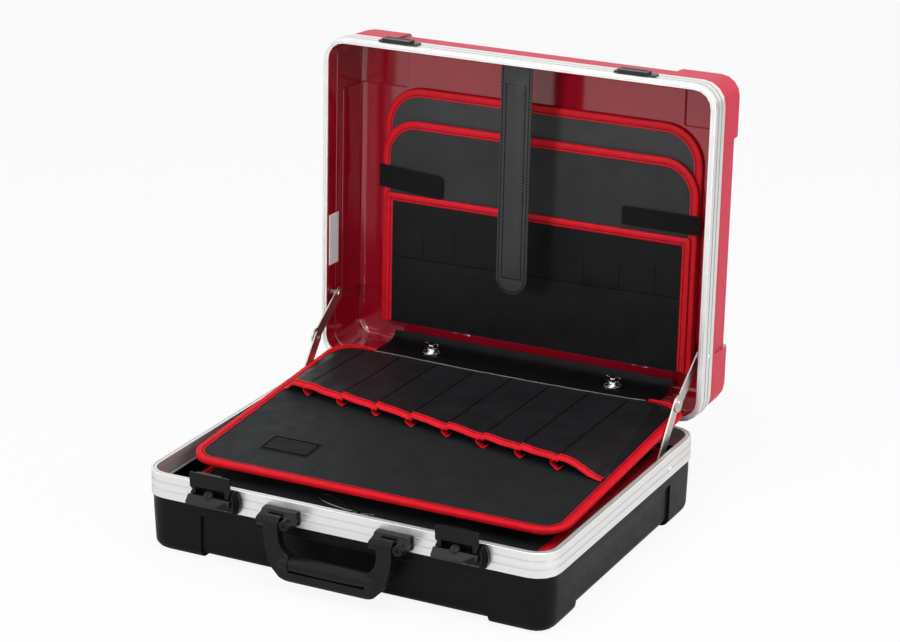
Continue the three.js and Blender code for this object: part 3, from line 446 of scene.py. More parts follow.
def anodised(name, inwards, mate, groove, tilt=0.0):
    """Extruded aluminium with drawing lines, and painted shade along two grooves inwards from the mating
    face.
    """
    material, tree, shader = new_material(name, (0.82, 0.825, 0.815), 0.34, 0.75)
    lines = object_place(tree, (3, 3, 2600), tilt)
    at = object_place(tree)
    depth = calculate_vector("DOT_PRODUCT", at, Vector(inwards) / MM, "Value")
    grooves = []
    # Painted shade along each groove, darkest at its middle, in the given groove colour.
    for band in (1, 2):
        away = calculate("SUBTRACT", depth, mate + FRAME_BAND * band / 3)
        grooves.append(spread(calculate("ABSOLUTE", away), 1, 0, GROOVE_SHADE_CORE, GROOVE_SHADE_HALF))
    tone = spread(noise_value(lines, 1.0, 4), 0, 1, 0.35, 0.65)
    plain = mix_colours(tone, (0.79, 0.80, 0.785), (0.86, 0.865, 0.855))
    groove_shade = calculate("MAXIMUM", *grooves)
    feed(mix_colours(groove_shade, plain, (groove,) * 3), shader.inputs["Base Color"])
    vary_gloss(shader, noise_value(at, 70), 0.28, 0.38)
    bumps(shader, [(noise_value(lines, 1.0), 0.12, 0.03)], 0.25)
    return material


# Plastics

BLACK_PLASTIC = moulded("black_plastic", (0.004, 0.0046, 0.0052), (0.006, 0.0066, 0.0072), 0.36, 0.1)
HANDLE_PLASTIC = moulded("handle_plastic", (0.0035, 0.004, 0.0045), (0.006, 0.0064, 0.007), 0.26, 0.2,
                         rounded=1.4, grain=900, depth=0.01)
GRIP_PLASTIC = moulded("grip_plastic", (0.0045, 0.005, 0.0058), (0.0065, 0.007, 0.008), 0.4, 0.17,
                       rounded=0.5, grain=1500, depth=0.05)
LATCH_PLASTIC = moulded("latch_plastic", (0.0032, 0.0034, 0.004), (0.0056, 0.0058, 0.0064), 0.24, 0.2,
                        rounded=0.7, grain=900, depth=0.01)
# Lighter than the latch's black plastic: painted reflection on the glossy lever flaps.
LIT_LEVER_PLASTIC = moulded("lever_plastic_lit", (0.010, 0.0102, 0.0106), (0.013, 0.0132, 0.0136), 0.36, 0.3,
                        rounded=0.7, grain=900, depth=0.01)
STRIKE_PLASTIC = moulded("strike_plastic", (0.008, 0.0085, 0.0095), (0.014, 0.0145, 0.016), 0.32, 0.3,
                         rounded=0.5)
LABEL_WHITE = moulded("blank_label", (0.72, 0.72, 0.73), (0.62, 0.62, 0.64), 0.35, 0.4, rounded=0.1)
LID_RED = lid_red()

# Metals

LID_INWARDS = (0, sin(LID_OPEN), cos(LID_OPEN))
HINGE_DEPTH = HINGE[0] * LID_INWARDS[1] + (HINGE[1] + RAISE) * LID_INWARDS[2]
# The last number of each is the colour of the painted shade in the grooves; the lid's is darker.
BASE_FRAME_METAL = anodised("base_frame_metal", (0, 0, -1), -(RIM_TOP + RAISE), 0.72)
LID_FRAME_METAL = anodised("lid_frame_metal", LID_INWARDS, HINGE_DEPTH + LID_MATE - HINGE[1], 0.38, LID_OPEN)
LOCK_METAL = metal("lock_metal", (0.035, 0.035, 0.037), 0.3, 0.1)
WIRE_METAL = metal("wire_metal", (0.16, 0.155, 0.15), 0.25, 0.1)
STEEL = metal("nickel_steel", (0.60, 0.575, 0.54), 0.33)
CHROME = metal("bright_chrome", (0.82, 0.83, 0.84), 0.1, 0.05)

# Coverings

BOARD_COVER = leathered("board_cover", (0.0105, 0.0125, 0.0132), (0.0135, 0.0155, 0.0165), 0.55, 0.11)
# The organiser's boards: the board covering painted lighter, the back one most, as painted light and
# reflection on the boards in the lid.
LIT_BACK_BOARD_COVER = leathered("back_board_lit_cover", (0.032, 0.032, 0.034), (0.040, 0.040, 0.042), 0.5, 0.16)
LIT_FRONT_BOARD_COVER = leathered("front_board_lit_cover", (0.018, 0.0185, 0.020), (0.024, 0.0245, 0.026),
                              0.5, 0.16)
ORGANISER_CLOTH = leathered("organiser_cover", (0.0036, 0.0036, 0.0044), (0.0052, 0.0052, 0.006),
                            0.42, 0.12, cells=1300, depth=0.06)
PATCH_COVER = leathered("patch_cover", (0.0072, 0.0084, 0.0089), (0.0092, 0.0106, 0.0112), 0.6, 0.1)
# Darker than the pocket cloth: painted shade on the last pocket's folded side.
FOLD_SHADE = leathered("fold_shade", (0.0042, 0.0042, 0.005), (0.006, 0.006, 0.007), 0.6, 0.1)
# Near-black and nearly matt: the stitches' dark thread, and painted shadow where its lines stand for shaded
# slits and stitch grooves.
THREAD_AND_SEAM_SHADOW = leathered("thread_and_seam_shadow", (0.0012, 0.0012, 0.0014), (0.002, 0.002, 0.0022), 0.9, 0.02)
POCKET_CLOTH = leathered("pocket_cover", (0.0062, 0.0062, 0.0076), (0.009, 0.009, 0.0104),
                         0.45, 0.2, cells=1300, depth=0.06)
FLAP_CLOTH = leathered("flap_cover", (0.0024, 0.0024, 0.003), (0.0038, 0.0038, 0.0044),
                       0.4, 0.08, cells=1200, depth=0.05, creases=0.3)
STRAP_LEATHER = leathered("strap_cover", (0.0165, 0.017, 0.0185), (0.021, 0.0215, 0.023),
                          0.4, 0.3, cells=1000, depth=0.08)

# Tapes and thread

FUZZY_TAPE = woven("hook_tape", (0.0022, 0.0022, 0.0026), (0.004, 0.004, 0.0045), 0.9, 0.03,
                   threads=900, depth=0.4)
RED_TAPE = woven("red_tape", (0.60, 0.0045, 0.013), (0.71, 0.007, 0.019), 0.55, 0.0)
# The same red tape painted darker for the lid's dimmer inside: painted shade.
SHADED_LID_TAPE = woven("lid_tape_shaded", (0.43, 0.0035, 0.010), (0.52, 0.0055, 0.015), 0.55, 0.0)
PALE_THREAD = woven("pale_thread", (0.095, 0.095, 0.095), (0.18, 0.178, 0.175), 0.7, 0.1)


# Nodes of the frame

# The first of these that a node's name starts with gives its material
NODE_MATERIALS = {
    "base_shell": BLACK_PLASTIC, "lid_shell": LID_RED,
    "base_frame": BASE_FRAME_METAL, "lid_frame": LID_FRAME_METAL,
    "handle_grip": GRIP_PLASTIC, "handle_": HANDLE_PLASTIC,
    "latch_lever": LIT_LEVER_PLASTIC, "latch_": LATCH_PLASTIC, "strike_": STRIKE_PLASTIC,
    "lower_board": BOARD_COVER, "tool_board": BOARD_COVER, "divider": BOARD_COVER,
    "organiser_back_board": LIT_BACK_BOARD_COVER, "organiser_front_board": LIT_FRONT_BOARD_COVER,
    "hinge_": STEEL, "stay_": STEEL, "turn_stud": CHROME, "case_key": CHROME,
    "lock_": LOCK_METAL, "key_ring": WIRE_METAL, "": POCKET_CLOTH,
}
SOFT_ANGLE = radians(40)
SOFT_NODES = ("base_shell", "lid_shell", "base_frame", "lid_frame", "handle_bail", "handle_grip")


def soft_edges():
    """Nodes that join a solid's facets and shade softly except over sharp edges."""
    tree = bpy.data.node_groups.new("soft_edges", "GeometryNodeTree")
    for way in ("INPUT", "OUTPUT"):
        tree.interface.new_socket("Geometry", in_out=way, socket_type="NodeSocketGeometry")
    start, end = tree.nodes.new("NodeGroupInput"), tree.nodes.new("NodeGroupOutput")
    welding = {"Geometry": start.outputs[0], "Distance": 1e-6}
    weld = add_node(tree, "GeometryNodeMergeByDistance", welding, "Geometry")
    faces = add_node(tree, "GeometryNodeSetShadeSmooth", {"Geometry": weld}, "Geometry")
    angle = add_node(tree, "GeometryNodeInputMeshEdgeAngle", {}, "Unsigned Angle")
    inputs = {"A": angle, "B": SOFT_ANGLE}
    sharp = add_node(tree, "FunctionNodeCompare", inputs, "Result", operation="GREATER_THAN")
    splitting = {"Geometry": faces, "Selection": sharp, "Shade Smooth": False}
    edges = add_node(tree, "GeometryNodeSetShadeSmooth", splitting, "Geometry", domain="EDGE")
    tree.links.new(edges, end.inputs[0])
    return tree


def dress_nodes():
    """Each CAD node gets its material, and the large ones soft shading between their sharp edges."""
    softening = soft_edges()
    for name, node in nodes.items():
        if name in SOFT_NODES:
            node.modifiers.new("soften", "NODES").node_group = softening
            node.modifiers.new("weigh", "WEIGHTED_NORMAL").keep_sharp = True
        if not node.material_slots:
            node.data.materials.append(None)
        chosen = next(NODE_MATERIALS[start] for start in NODE_MATERIALS if name.startswith(start))
        for slot in node.material_slots:
            slot.material = chosen


# Stitching

# Sizes of stitches: pitch, length and thickness
BINDING_STITCH = (3.2, 2.7, 0.8)
MOUTH_STITCH = (3.0, 2.5, 0.65)
PATCH_STITCH = (3.0, 2.8, 0.9)
SEAM_STITCH = (3.0, 2.5, 0.9)
STRAP_STITCH = (3.6, 2.5, 1.15)
# Rings of one stitch as shares: place along it, thickness and rise
STITCH_RINGS = ((-0.5, 0.3, -0.15), (-0.3, 0.9, 0.1), (0.3, 0.9, 0.1), (0.5, 0.3, -0.15))


def even_steps(points, pitch, closed):
    """Points at an even pitch along a line of points, each with its direction."""
    line = points + ([points[0]] if closed else [])
    lengths = [(b - a).length for a, b in pairwise(line)]
    total = sum(lengths)
    count = max(1, round(total / pitch))
    found, index, walked = [], 0, 0.0
    for k in range(count):
        target = (k + 0.5) * total / count
        while index < len(lengths) - 1 and walked + lengths[index] < target:
            walked += lengths[index]
            index += 1
        a, b = line[index], line[index + 1]
        way = (b - a).normalized()
        found.append((a + way * (target - walked), way))
    return found


def stitches(name, points, up, body, size, closed=False):
    """Raised stitches along a line of points, in near-black that is dark thread and partly painted shadow of
    the stitch line.
    """
    pitch, length, thick = size
    parts = []
    for centre, way in even_steps(points, pitch * MM, closed):
        side = way.cross(up).normalized()
        lift = side.cross(way)
        rings = []
        for forth, share, rise in STITCH_RINGS:
            middle = centre + way * (forth * length * MM) + lift * (rise * thick * MM)
            ring = circle(0, 0, thick * MM / 2 * share, 6)
            rings.append([middle + side * u + lift * v for u, v in ring])
        parts.append(skin(rings))
    add_mesh(name, merged(parts), THREAD_AND_SEAM_SHADOW, body)


# Bindings of the boards

TAPE_SPREAD = 1.17
# Half of the folded tape's section: inset from its outer edge, height over the board's middle
TAPE_TOP = [
    (0.0, 0.0), (0.12, 0.9), (0.6, 1.65), (1.6, 2.2), (3.0, 2.4), (4.6, 2.35),
    (5.6, 2.1), (6.2, 1.9), (6.9, 2.05), (7.6, 2.15), (8.1, 1.95), (8.2, 1.5), (8.0, 1.33),
]
TAPE_FOLD = (3.95, 1.33)
TAPE_STITCH = (6.3, 2.02)
TAPE_STEPS = (10, 60)


def tape(plan, path, to_frame, middle, over):
    """Rings of a folded tape along a path round a board, a little uneven along its length."""
    upper = [(inset * TAPE_SPREAD, z + (over if z > 0 else 0)) for inset, z in TAPE_TOP]
    fold = (TAPE_FOLD[0], TAPE_FOLD[1] + over)
    section = upper + [fold] + [(inset, -z) for inset, z in [fold] + upper[:0:-1]]

    def on_tape(x, y, z):
        swell = pucker(x, y, 0.3, 0.11) if z > 1.4 + over else 0.0
        return to_frame(x, y, middle + z + swell * min(1.0, abs(z) / 2))

    return follow(section, path, plan, TAPE_STEPS, on_tape)


def bound_board(name, plan, to_frame, middle, body, plate=BOARD_PLATE, closed=True):
    """A red binding with its stitches, all round a board or, in the lid, open at the lower edge."""
    over = (plate - BOARD_PLATE) / 2
    path = outline if closed else arch
    shape = skin(tape(plan, path, to_frame, middle, over), looped=closed)
    material = RED_TAPE if closed else SHADED_LID_TAPE
    add_mesh(f"{name}_tape", shape, material, body, f"{name}_binding")
    # The binding's stitches are near-black: thread, and painted shadow of the stitch line on the tape.
    inset, height = TAPE_STITCH
    top = middle + height + over
    line = [to_frame(x, y, top) for x, y in path(plan, inset * TAPE_SPREAD, *TAPE_STEPS)]
    up = to_frame(0, 0, 1) - to_frame(0, 0, 0)
    stitches(f"{name}_stitches", line, up, body, BINDING_STITCH, closed=closed)


# Pocket row of the tool board

POCKET_LEFT, POCKET_RIGHT = -204.0, 204.0
POCKET_FRONT, POCKET_BACK = 65.0, 189.0
POCKET_CHAMFER = 22.0
POCKET_SLANT = 0.162
POCKET_PITCH = 45.9
POCKET_FIRST = -171.0
LAST_POCKET = 8
POCKET_EDGES = [POCKET_LEFT, *[POCKET_FIRST + k * POCKET_PITCH for k in range(LAST_POCKET)], POCKET_RIGHT]
POCKET_ROWS = 26
CLOTH_LEAD = 0.5
CLOTH_THICK = 0.75

# Heights of the mouths: at the left, their rise to the right, and the step at each pocket's seam
MOUTH_LEVEL, MOUTH_RISE, MOUTH_WAVE = 12.2, 2.4, 0.5
SAW_STEPS = [0.0, 3.0, 3.6, 4.2, 3.4, 2.6, 2.0, 2.4, 0.0]
FIRST_START, LAST_START, END_FALL = 2.4, 1.0, 1.6

# The back hem, which swells at the right
HEM, HEM_SWELL = 2.6, 2.6
SWELL_START, SWELL_LENGTH = 150.0, 36.0

# Sewn seams between the pockets, which end at the hem
SEAM_DEPTH, SEAM_HALF, SEAM_FLOOR, SEAM_END = 5.5, 1.0, 1.2, 179.0
# The section of a seam's near-black line of painted shadow, as (x, depth)
SEAM_SHADOW_LINE = ((-0.5, 0.3), (-0.2, 0), (1.0, 0), (1.15, 0.5), (-0.4, 1.0))

# The crease where the last pocket folds down to the board's side, and its front and back ends
CREASE_X, CREASE_SHIFT, CREASE_START, CREASE_LENGTH = 202.0, 19.0, 9.5, 170.0
SIDE_X, SIDE_HEIGHT = 204.5, 1.0
SIDE_FRONT, SIDE_BACK, SIDE_EDGE = 14.0, 176.0, 203.6

# The mouth tape's section from its back edge, as steps (y, z) from the cloth's edge
MOUTH_TAPE = [
    (0.9, -0.3), (0.7, 0.25), (0, 0.6), (-2, 0.4), (-3.9, -0.6), (-5.6, -2.2), (-6.4, -3.6),
    (-6.3, -4.3), (-5.5, -4.4), (-4.2, -3.2), (-2.4, -1.7), (0.4, -0.9),
]
# Width and height of the folded pleat edge at each seam
PLEAT_SIZES = [
    (4.4, 0.86), (5.4, 0.9), (4.6, 0.88), (6.0, 1.0), (5.4, 0.94), (7.4, 1.06), (5.2, 0.92), (7.2, 1.1),
]
PLEAT_HALF = 0.45
PLEAT_FRONT, PLEAT_DEPTH = 6.9, 6.6


def mouth_y(x):
    return POCKET_FRONT - (x - POCKET_LEFT) * POCKET_SLANT


def hem_y(x):
    """Where the back hem runs, with its corners cut off."""
    return POCKET_BACK - max(0.0, abs(x) - (POCKET_RIGHT - POCKET_CHAMFER))


def crease_x(y):
    return CREASE_X - CREASE_SHIFT * clamp((y - CREASE_START) / CREASE_LENGTH)


def mouth_height(pocket, x):
    """How high the mouth of a pocket stands over the board, a saw with a low wave."""
    left, right = POCKET_EDGES[pocket], POCKET_EDGES[pocket + 1]
    part = (x - left) / (right - left)
    level = MOUTH_LEVEL + MOUTH_RISE * (x - POCKET_LEFT) / (POCKET_RIGHT - POCKET_LEFT)
    if pocket == 0:
        return FIRST_START + (level - END_FALL) * ease(part * 2.2) ** 0.8
    if pocket == LAST_POCKET:
        return level + LAST_START - (level - END_FALL) * ease((part - 0.12) / 0.88) ** 1.1
    saw = SAW_STEPS[pocket] * (0.5 - part)
    wave = MOUTH_WAVE * sin(2 * pi * part + pocket * 1.3) * ease(part * 4) * ease((1 - part) * 4)
    return level + saw + wave


def pocket_height(pocket, x, y):
    """Height of the pocket cloth over the board between its mouth and its back hem."""
    start = mouth_y(x) - CLOTH_LEAD
    back = clamp((y - start) / (POCKET_BACK - start))
    left_over = hem_y(x) - y
    hem = HEM * (0.4 + 0.6 * ease(left_over / 6))
    hem += HEM_SWELL * ease((x - SWELL_START) / SWELL_LENGTH) * ease(left_over / 9)
    height = hem + (mouth_height(pocket, x) - hem) * (1 - back)
    height += pucker(x * 0.5, y * 0.35, 0.7 * (1 - back), 0.06)
    seams = [POCKET_EDGES[edge] for edge in (pocket, pocket + 1) if 0 < edge <= LAST_POCKET]
    slit = max(0.0, 1 - min(abs(x - seam) for seam in seams) / SEAM_HALF)
    height -= min(SEAM_DEPTH, height - SEAM_FLOOR) * slit * ease((SEAM_END - 1 - y) / 14)
    crease = crease_x(y)
    if x > crease:
        height = SIDE_HEIGHT + (height - SIDE_HEIGHT) * max(0.0, (SIDE_X - x) / (SIDE_X - crease))
    return height


def cloth_height(x, y):
    """Height of the pocket row at a point of the board, whichever pocket it is in."""
    pocket = ceil((x - POCKET_FIRST) / POCKET_PITCH)
    return pocket_height(min(LAST_POCKET, max(0, pocket)), x, y)


def pocket_columns():
    """Columns of the cloth as (pocket, x), crowded beside each seam."""
    columns = []
    for pocket, (left, right) in enumerate(pairwise(POCKET_EDGES)):
        crowd = [left, left + 0.5, left + SEAM_HALF, right - SEAM_HALF, right - 0.5]
        columns += [(pocket, x) for x in sorted(crowd + along(left, right, 14)[1:-1])]
    return [*columns, (LAST_POCKET, POCKET_RIGHT)]


def pocket_row():
    """The cloth of all the pockets, from their mouths to the back hem."""
    def both_faces(share, column):
        pocket, x = column
        start = mouth_y(x) - CLOTH_LEAD
        y = start + share * (hem_y(x) - start)
        height = pocket_height(pocket, x, y)
        return on_board(x, y, height), on_board(x, y, max(0.3, height - CLOTH_THICK))

    cloth = sheet(along(0, 1, POCKET_ROWS), pocket_columns(), both_faces)
    add_mesh("pocket_row", cloth, POCKET_CLOTH, "tool_board", "tool_pocket_panel", split=45)


def pocket_seam_shadows():
    """Near-black lines between the pockets, along the raised side of each seam: painted shadow of the slits
    at the seams.
    """
    parts = []
    for pocket, x in enumerate(POCKET_EDGES[1:-1]):
        rings = []
        for y in along(mouth_y(x) + 1.0, SEAM_END, 30):
            low = pocket_height(pocket, x - SEAM_HALF, y)
            high = pocket_height(pocket + 1, x + SEAM_HALF, y)
            top = max(low, high) + 0.12
            rings.append([on_board(x + dx, y, top - down) for dx, down in SEAM_SHADOW_LINE])
        parts.append(skin(rings))
    add_mesh("pocket_seam_shadows", merged(parts), THREAD_AND_SEAM_SHADOW, "tool_board")


def pocket_side_fold_shade():
    """A darker sheet over the folded side of the last pocket, between its crease and the board's tape:
    painted shade on the steeper facet.
    """
    def both_faces(y, share):
        x = crease_x(y) + (SIDE_EDGE - crease_x(y)) * share
        z = pocket_height(LAST_POCKET, x, y)
        return on_board(x, y, z + 0.15), on_board(x, y, z - 0.3)

    cloth = sheet(along(SIDE_FRONT, SIDE_BACK, 30), along(0, 1, 4), both_faces)
    add_mesh("pocket_side_fold_shade", cloth, FOLD_SHADE, "tool_board")


def pleat(seam, x, mouth):
    """The bound edge of a folded pleat, a thin ribbon under the mouth at a seam."""
    wide, tall = PLEAT_SIZES[seam]
    high = mouth - 2.6
    line = smoothed([
        (2.2, high + 0.7), (-wide * 0.5, high + 0.1), (-wide * 1.05, high * 0.76),
        (-wide * 0.86, high * 0.44), (0.3, 0.5 + high * (1 - tall) * 0.5), (wide * 0.66, high * 0.36),
    ])
    front = mouth_y(x) - PLEAT_FRONT
    rings = []
    for i, (dx, z) in enumerate(line):
        nx, nz = (-PLEAT_HALF * n for n in across(line, i))
        ring = [(nx, nz, 0.3), (0, 0, 0), (-nx, -nz, 0.3), (-nx, -nz, PLEAT_DEPTH), (nx, nz, PLEAT_DEPTH)]
        rings.append([on_board(x + dx + px, front + py, max(0.15, z + pz)) for px, pz, py in ring])
    return skin(rings)


def mouth_binding():
    """Red tape along the mouth of each pocket, with its stitches and the pleats at the seams."""
    parts, threads = [], []
    for pocket, (left, right) in enumerate(pairwise(POCKET_EDGES)):
        first = left + (0.2 if pocket else 0)
        last = right + (1.0 if pocket < LAST_POCKET else -1.5)
        rings, thread = [], []
        for x in along(first, last, 24):
            y = mouth_y(x) + pucker(x, 7, 0.4, 0.13)
            z = mouth_height(pocket, x) + 0.2
            fall = min(1.0, z / 7)
            rings.append([on_board(x, y + dy, max(0.3, z + dz * fall)) for dy, dz in MOUTH_TAPE])
            thread.append(on_board(x, y - 2.6, z + 0.26 * fall))
        parts.append(skin(rings))
        threads.append(thread)
        if pocket < LAST_POCKET:
            parts.append(pleat(pocket, right, mouth_height(pocket, right)))
    add_mesh("pocket_mouth_tape", merged(parts), RED_TAPE, "tool_board", "tool_pocket_binding",
             split=50)
    for pocket, thread in enumerate(threads):
        stitches(f"pocket_mouth_stitches_{pocket}", thread, BOARD_UP, "tool_board", MOUTH_STITCH)


# Covering over the tool board's back tape, and its patch

FOLD_LEFT, FOLD_RIGHT = -161.0, 168.0
FOLD_Y, FOLD_SHIFT, FOLD_SAG = 186.2, 1.6, 5.6
FOLD_CORD = 0.6
# Where the covering lies on the tape, as (y, height)
FOLD_BACK = [(190.5, 2.3), (194.5, 2.4), (197.8, 2.3), (199.6, 1.5), (200.0, 0.3)]

# The patch: left, right, back and front, and how far in its stitches run
PATCH = (-153, -96, -46, -79)
PATCH_INSET = 2.2


def fold_front(x):
    """The front edge of the covering over the board's back tape, which sags between its ends."""
    part = (x - FOLD_LEFT) / (FOLD_RIGHT - FOLD_LEFT)
    sag = FOLD_SAG * sin(pi * part) ** 0.8
    return FOLD_Y - FOLD_SHIFT * part - sag + pucker(x, 5, 0.5, 0.04)


def fold_cover():
    """The covering over the board's back tape, with a corded front edge."""
    upper, lower, cord = [], [], []
    for x in along(FOLD_LEFT, FOLD_RIGHT, 90):
        front = fold_front(x)
        height = cloth_height(x, front) + 0.25
        section = [(front, height), (front + 2.5, height * 0.7 + 0.9), *FOLD_BACK]
        lift = pucker(x, 198, 0.3, 0.05)
        upper.append([on_board(x, y, z + 0.25 + lift) for y, z in section])
        lower.append([on_board(x, y, max(0.1, z - 0.35)) for y, z in section])
        cord.append([on_board(x, y, z) for y, z in circle(front, height + 0.45 + lift, FOLD_CORD, 8)])
    add_mesh("fold_cover", slab(upper, lower), FLAP_CLOTH, "tool_board", split=60)
    add_mesh("fold_cord", skin(cord), PALE_THREAD, "tool_board")


def board_patch():
    """A plain sewn patch at the front left of the tool board."""
    left, right, back, front = PATCH

    def both_faces(y, x):
        on_edge = x in (left, right) or y in (back, front)
        top = (0.35 if on_edge else 0.85) + pucker(x, y, 0.15, 0.2)
        return on_board(x, y, top), on_board(x, y, 0.05)

    cloth = sheet(along(back, front, 8), along(left, right, 14), both_faces)
    add_mesh("board_patch", cloth, PATCH_COVER, "tool_board", split=60)
    (a, b), (c, d) = (left + PATCH_INSET, right - PATCH_INSET), (back - PATCH_INSET, front + PATCH_INSET)
    line = [(a, c), (b, c), (b, d), (a, d), (a, c)]
    points = []
    for start, end in pairwise(line):
        points += [on_board(x, y, 0.95) for x, y in between(start, end, 6)[:-1]]
    # The near-black stitches run almost end to end: thread, and painted shadow of the sewn groove round the
    # patch.
    stitches("board_patch_stitches", points, BOARD_UP, "tool_board", PATCH_STITCH, closed=True)


# Organiser in the lid

# Plans of its boards, whose front edge is the one high in the lid, and depths of its layers
BACK_PLAN = (190.5, -303, -31, 45, 8)
FRONT_PLAN = (190.0, -267, -31, 42, 8)
BACK_Q, FRONT_Q, SKIN_Q = 72.7, 67.4, 63.0

POUCH_HALF = 184.0
POUCH_LOW, POUCH_HIGH = 33.0, 182.5
POUCH_HEM = 4.0
POUCH_BELLY = 0.9

# The sewn line across the organiser's pocket, and the ones that stand on it
SEAM_LOW, SEAM_RISE = 109.0, 6.0
SEAM_COLUMNS, SEAM_TOP = (-135, -97, 61, 103, 145), 145

# The section of the pocket's flat tape, as (inset, q)
POCKET_TAPE = [
    (0.0, 1.65), (0.0, 0.5), (0.4, -0.4), (1.6, -0.95), (3.4, -1.1), (5.4, -1.0),
    (6.1, -0.75), (6.8, -0.95), (8.2, -0.85), (8.9, -0.3), (9.0, 0.3), (3.8, 0.4), (3.7, 1.65),
]
POCKET_TAPE_STITCH = (6.1, -0.95)

# The hook tabs: side, root, tip, lower and upper edge, roundness of the tip, droop
TABS = (
    ("left", -193, -113.5, 188, 214, 0.34, 5.6),
    ("right", 193.5, 103, 187, 208, 0.3, 0.0),
)
# Levels of a tab as (inset share, height)
TAB_LEVELS = ((0.01, 1.7), (0.0, 1.2), (0.0, 0.6), (0.02, 0.2))


def organiser_place(q):
    """Places a point (x, -s) of an organiser layer, heights towards the lid's opening."""
    return lambda x, y, z: in_lid(x, -y, q - z)


def pocket_lift(x, s):
    """How far the organiser's pocket stands off its board."""
    half = POUCH_HALF - POUCH_HEM
    side = sin(pi * clamp((x + half) / (2 * half))) ** 0.5
    belly = sin(pi * clamp((s - POUCH_LOW) / (POUCH_HIGH - POUCH_LOW)))
    return POUCH_BELLY * belly * side + pucker(x, s, 0.45 * side, 0.035)


def cross_seam(x):
    """Where the sewn line across the organiser's pocket runs."""
    return SEAM_LOW + (x + POUCH_HALF) / (2 * POUCH_HALF) * SEAM_RISE


def organiser_pocket():
    """The cloth of the organiser's pocket, pressed in along its sewn line."""
    def both_faces(s, x):
        pressed = 0.25 if abs(s - cross_seam(x)) < 2.6 else 0.0
        q = SKIN_Q - pocket_lift(x, s) + pressed
        return in_lid(x, s, q), in_lid(x, s, min(SKIN_Q + 1.6, q + 1.2))

    half = POUCH_HALF - POUCH_HEM
    rows = along(POUCH_LOW - 1, POUCH_HIGH - 2, 30)
    add_mesh("organiser_pocket_sheet", sheet(rows, along(-half, half, 60), both_faces),
             ORGANISER_CLOTH, "organiser_front", "organiser_pocket", split=60)


def organiser_seams():
    """The sewn lines of the organiser's pocket: one across it and five up from it."""
    far = POUCH_HALF - 6
    lines = [[(-far, 109.2), (0, 112), (far, 114.8)]]
    lines += [[(x, cross_seam(x) + 1), (x, SEAM_TOP)] for x in SEAM_COLUMNS]
    for k, ends in enumerate(lines):
        points = []
        for a, b in pairwise(ends):
            points += [in_lid(x, s, SKIN_Q - pocket_lift(x, s) + 0.15) for x, s in between(a, b, 12)]
        stitches(f"organiser_seam_{k}", points, LID_OUT, "organiser_front", SEAM_STITCH)


def organiser_pocket_tape():
    plan = (POUCH_HALF, -POUCH_HIGH, -POUCH_LOW, 4, 8)

    def on_tape(x, y, q):
        swell = pucker(x, y, 0.25, 0.1) if q < -0.2 else 0
        return in_lid(x, -y, SKIN_Q + q + swell)

    add_mesh("organiser_pocket_tape", skin(follow(POCKET_TAPE, arch, plan, (6, 70), on_tape)),
             SHADED_LID_TAPE, "organiser_front", "organiser_pocket_binding")
    inset, q = POCKET_TAPE_STITCH
    line = [in_lid(x, -y, SKIN_Q + q) for x, y in arch(plan, inset, 6, 70)]
    stitches("organiser_pocket_stitches", line, LID_OUT, "organiser_front", BINDING_STITCH)


def round_strip(length, half_width, roundness):
    """Outline of a strip with a square end at 0 and a rounded end, as (along, across)."""
    radius = half_width * roundness
    far, side = length - radius, half_width - radius
    return [(0.0, -half_width), *arc(far, -side, radius, -pi / 2, 0, 5),
            *arc(far, side, radius, 0, pi / 2, 5), (0.0, half_width)]


def layers(points, levels):
    """Rings of a plate with a softened edge from an outline and (inset share, height) levels."""
    cx, cy = (sum(p[n] for p in points) / len(points) for n in (0, 1))
    return [
        [(cx + (x - cx) * (1 - inset), cy + (y - cy) * (1 - inset), height) for x, y in points]
        for inset, height in levels
    ]


def organiser_tabs():
    """Two hook-and-loop tabs across the front board, bent a little towards their tips."""
    for side, root, tip, low, high, roundness, droop in TABS:
        length = abs(tip - root)
        way = 1 if tip > root else -1
        strip = round_strip(length, (high - low) / 2, roundness)
        rings = [
            [in_lid(root + way * a, (low + high) / 2 + b - droop * a / length,
                    SKIN_Q + q - 0.4 * (a / length) ** 2) for a, b, q in ring]
            for ring in layers(strip, TAB_LEVELS)
        ]
        add_mesh(f"hook_tab_{side}", skin(rings), FUZZY_TAPE, "organiser_front",
                 f"organiser_tab_{side}", split=50)


# Strap down the middle of the lid

STRAP_HALF, STRAP_TOP, STRAP_END = 18.2, 359.0, 106.0
STRAP_FACE, STRAP_RAISED, STRAP_LOW = 7.45, 7.0, 7.6
# Where the middle is raised, between these places along the strap
RAISED_START, RAISED_END = STRAP_END + 21, 342.0
# The strap's section, as (share of the half width, q)
STRAP_SECTION = [
    (-1.0, 9.6), (-1.0, 8.4), (-0.93, 7.8), (-0.83, 7.55), (-0.6, 7.65), (-0.56, 7.0),
    (0.56, 7.0), (0.6, 7.65), (0.83, 7.55), (0.93, 7.8), (1.0, 8.4), (1.0, 9.6),
    (0.9, 10.0), (-0.9, 10.0),
]
OUTER_INSET = 2.6
INNER_LINE = [(11.4, 338), (11.4, 124), (-11.4, 124), (-11.4, 338), (11.4, 338)]


def strap_stations():
    """Places along the strap with its half width there, to the end of its round tip."""
    start = STRAP_END + STRAP_HALF
    tip = arc(0, start, STRAP_HALF, 0, -pi / 2, 12)[1:]
    stations = [(s, STRAP_HALF) for s in along(STRAP_TOP, start, 44)]
    return stations + [(s, max(1.2, wide)) for wide, s in tip]


def outer_line():
    """The outer row of stitches: down one side of the strap, round its tip and up the other."""
    half = STRAP_HALF - OUTER_INSET
    tip = arc(0, STRAP_END + STRAP_HALF, half, 0, -pi, 14)
    return [(half, STRAP_TOP), *tip, (-half, STRAP_TOP)]


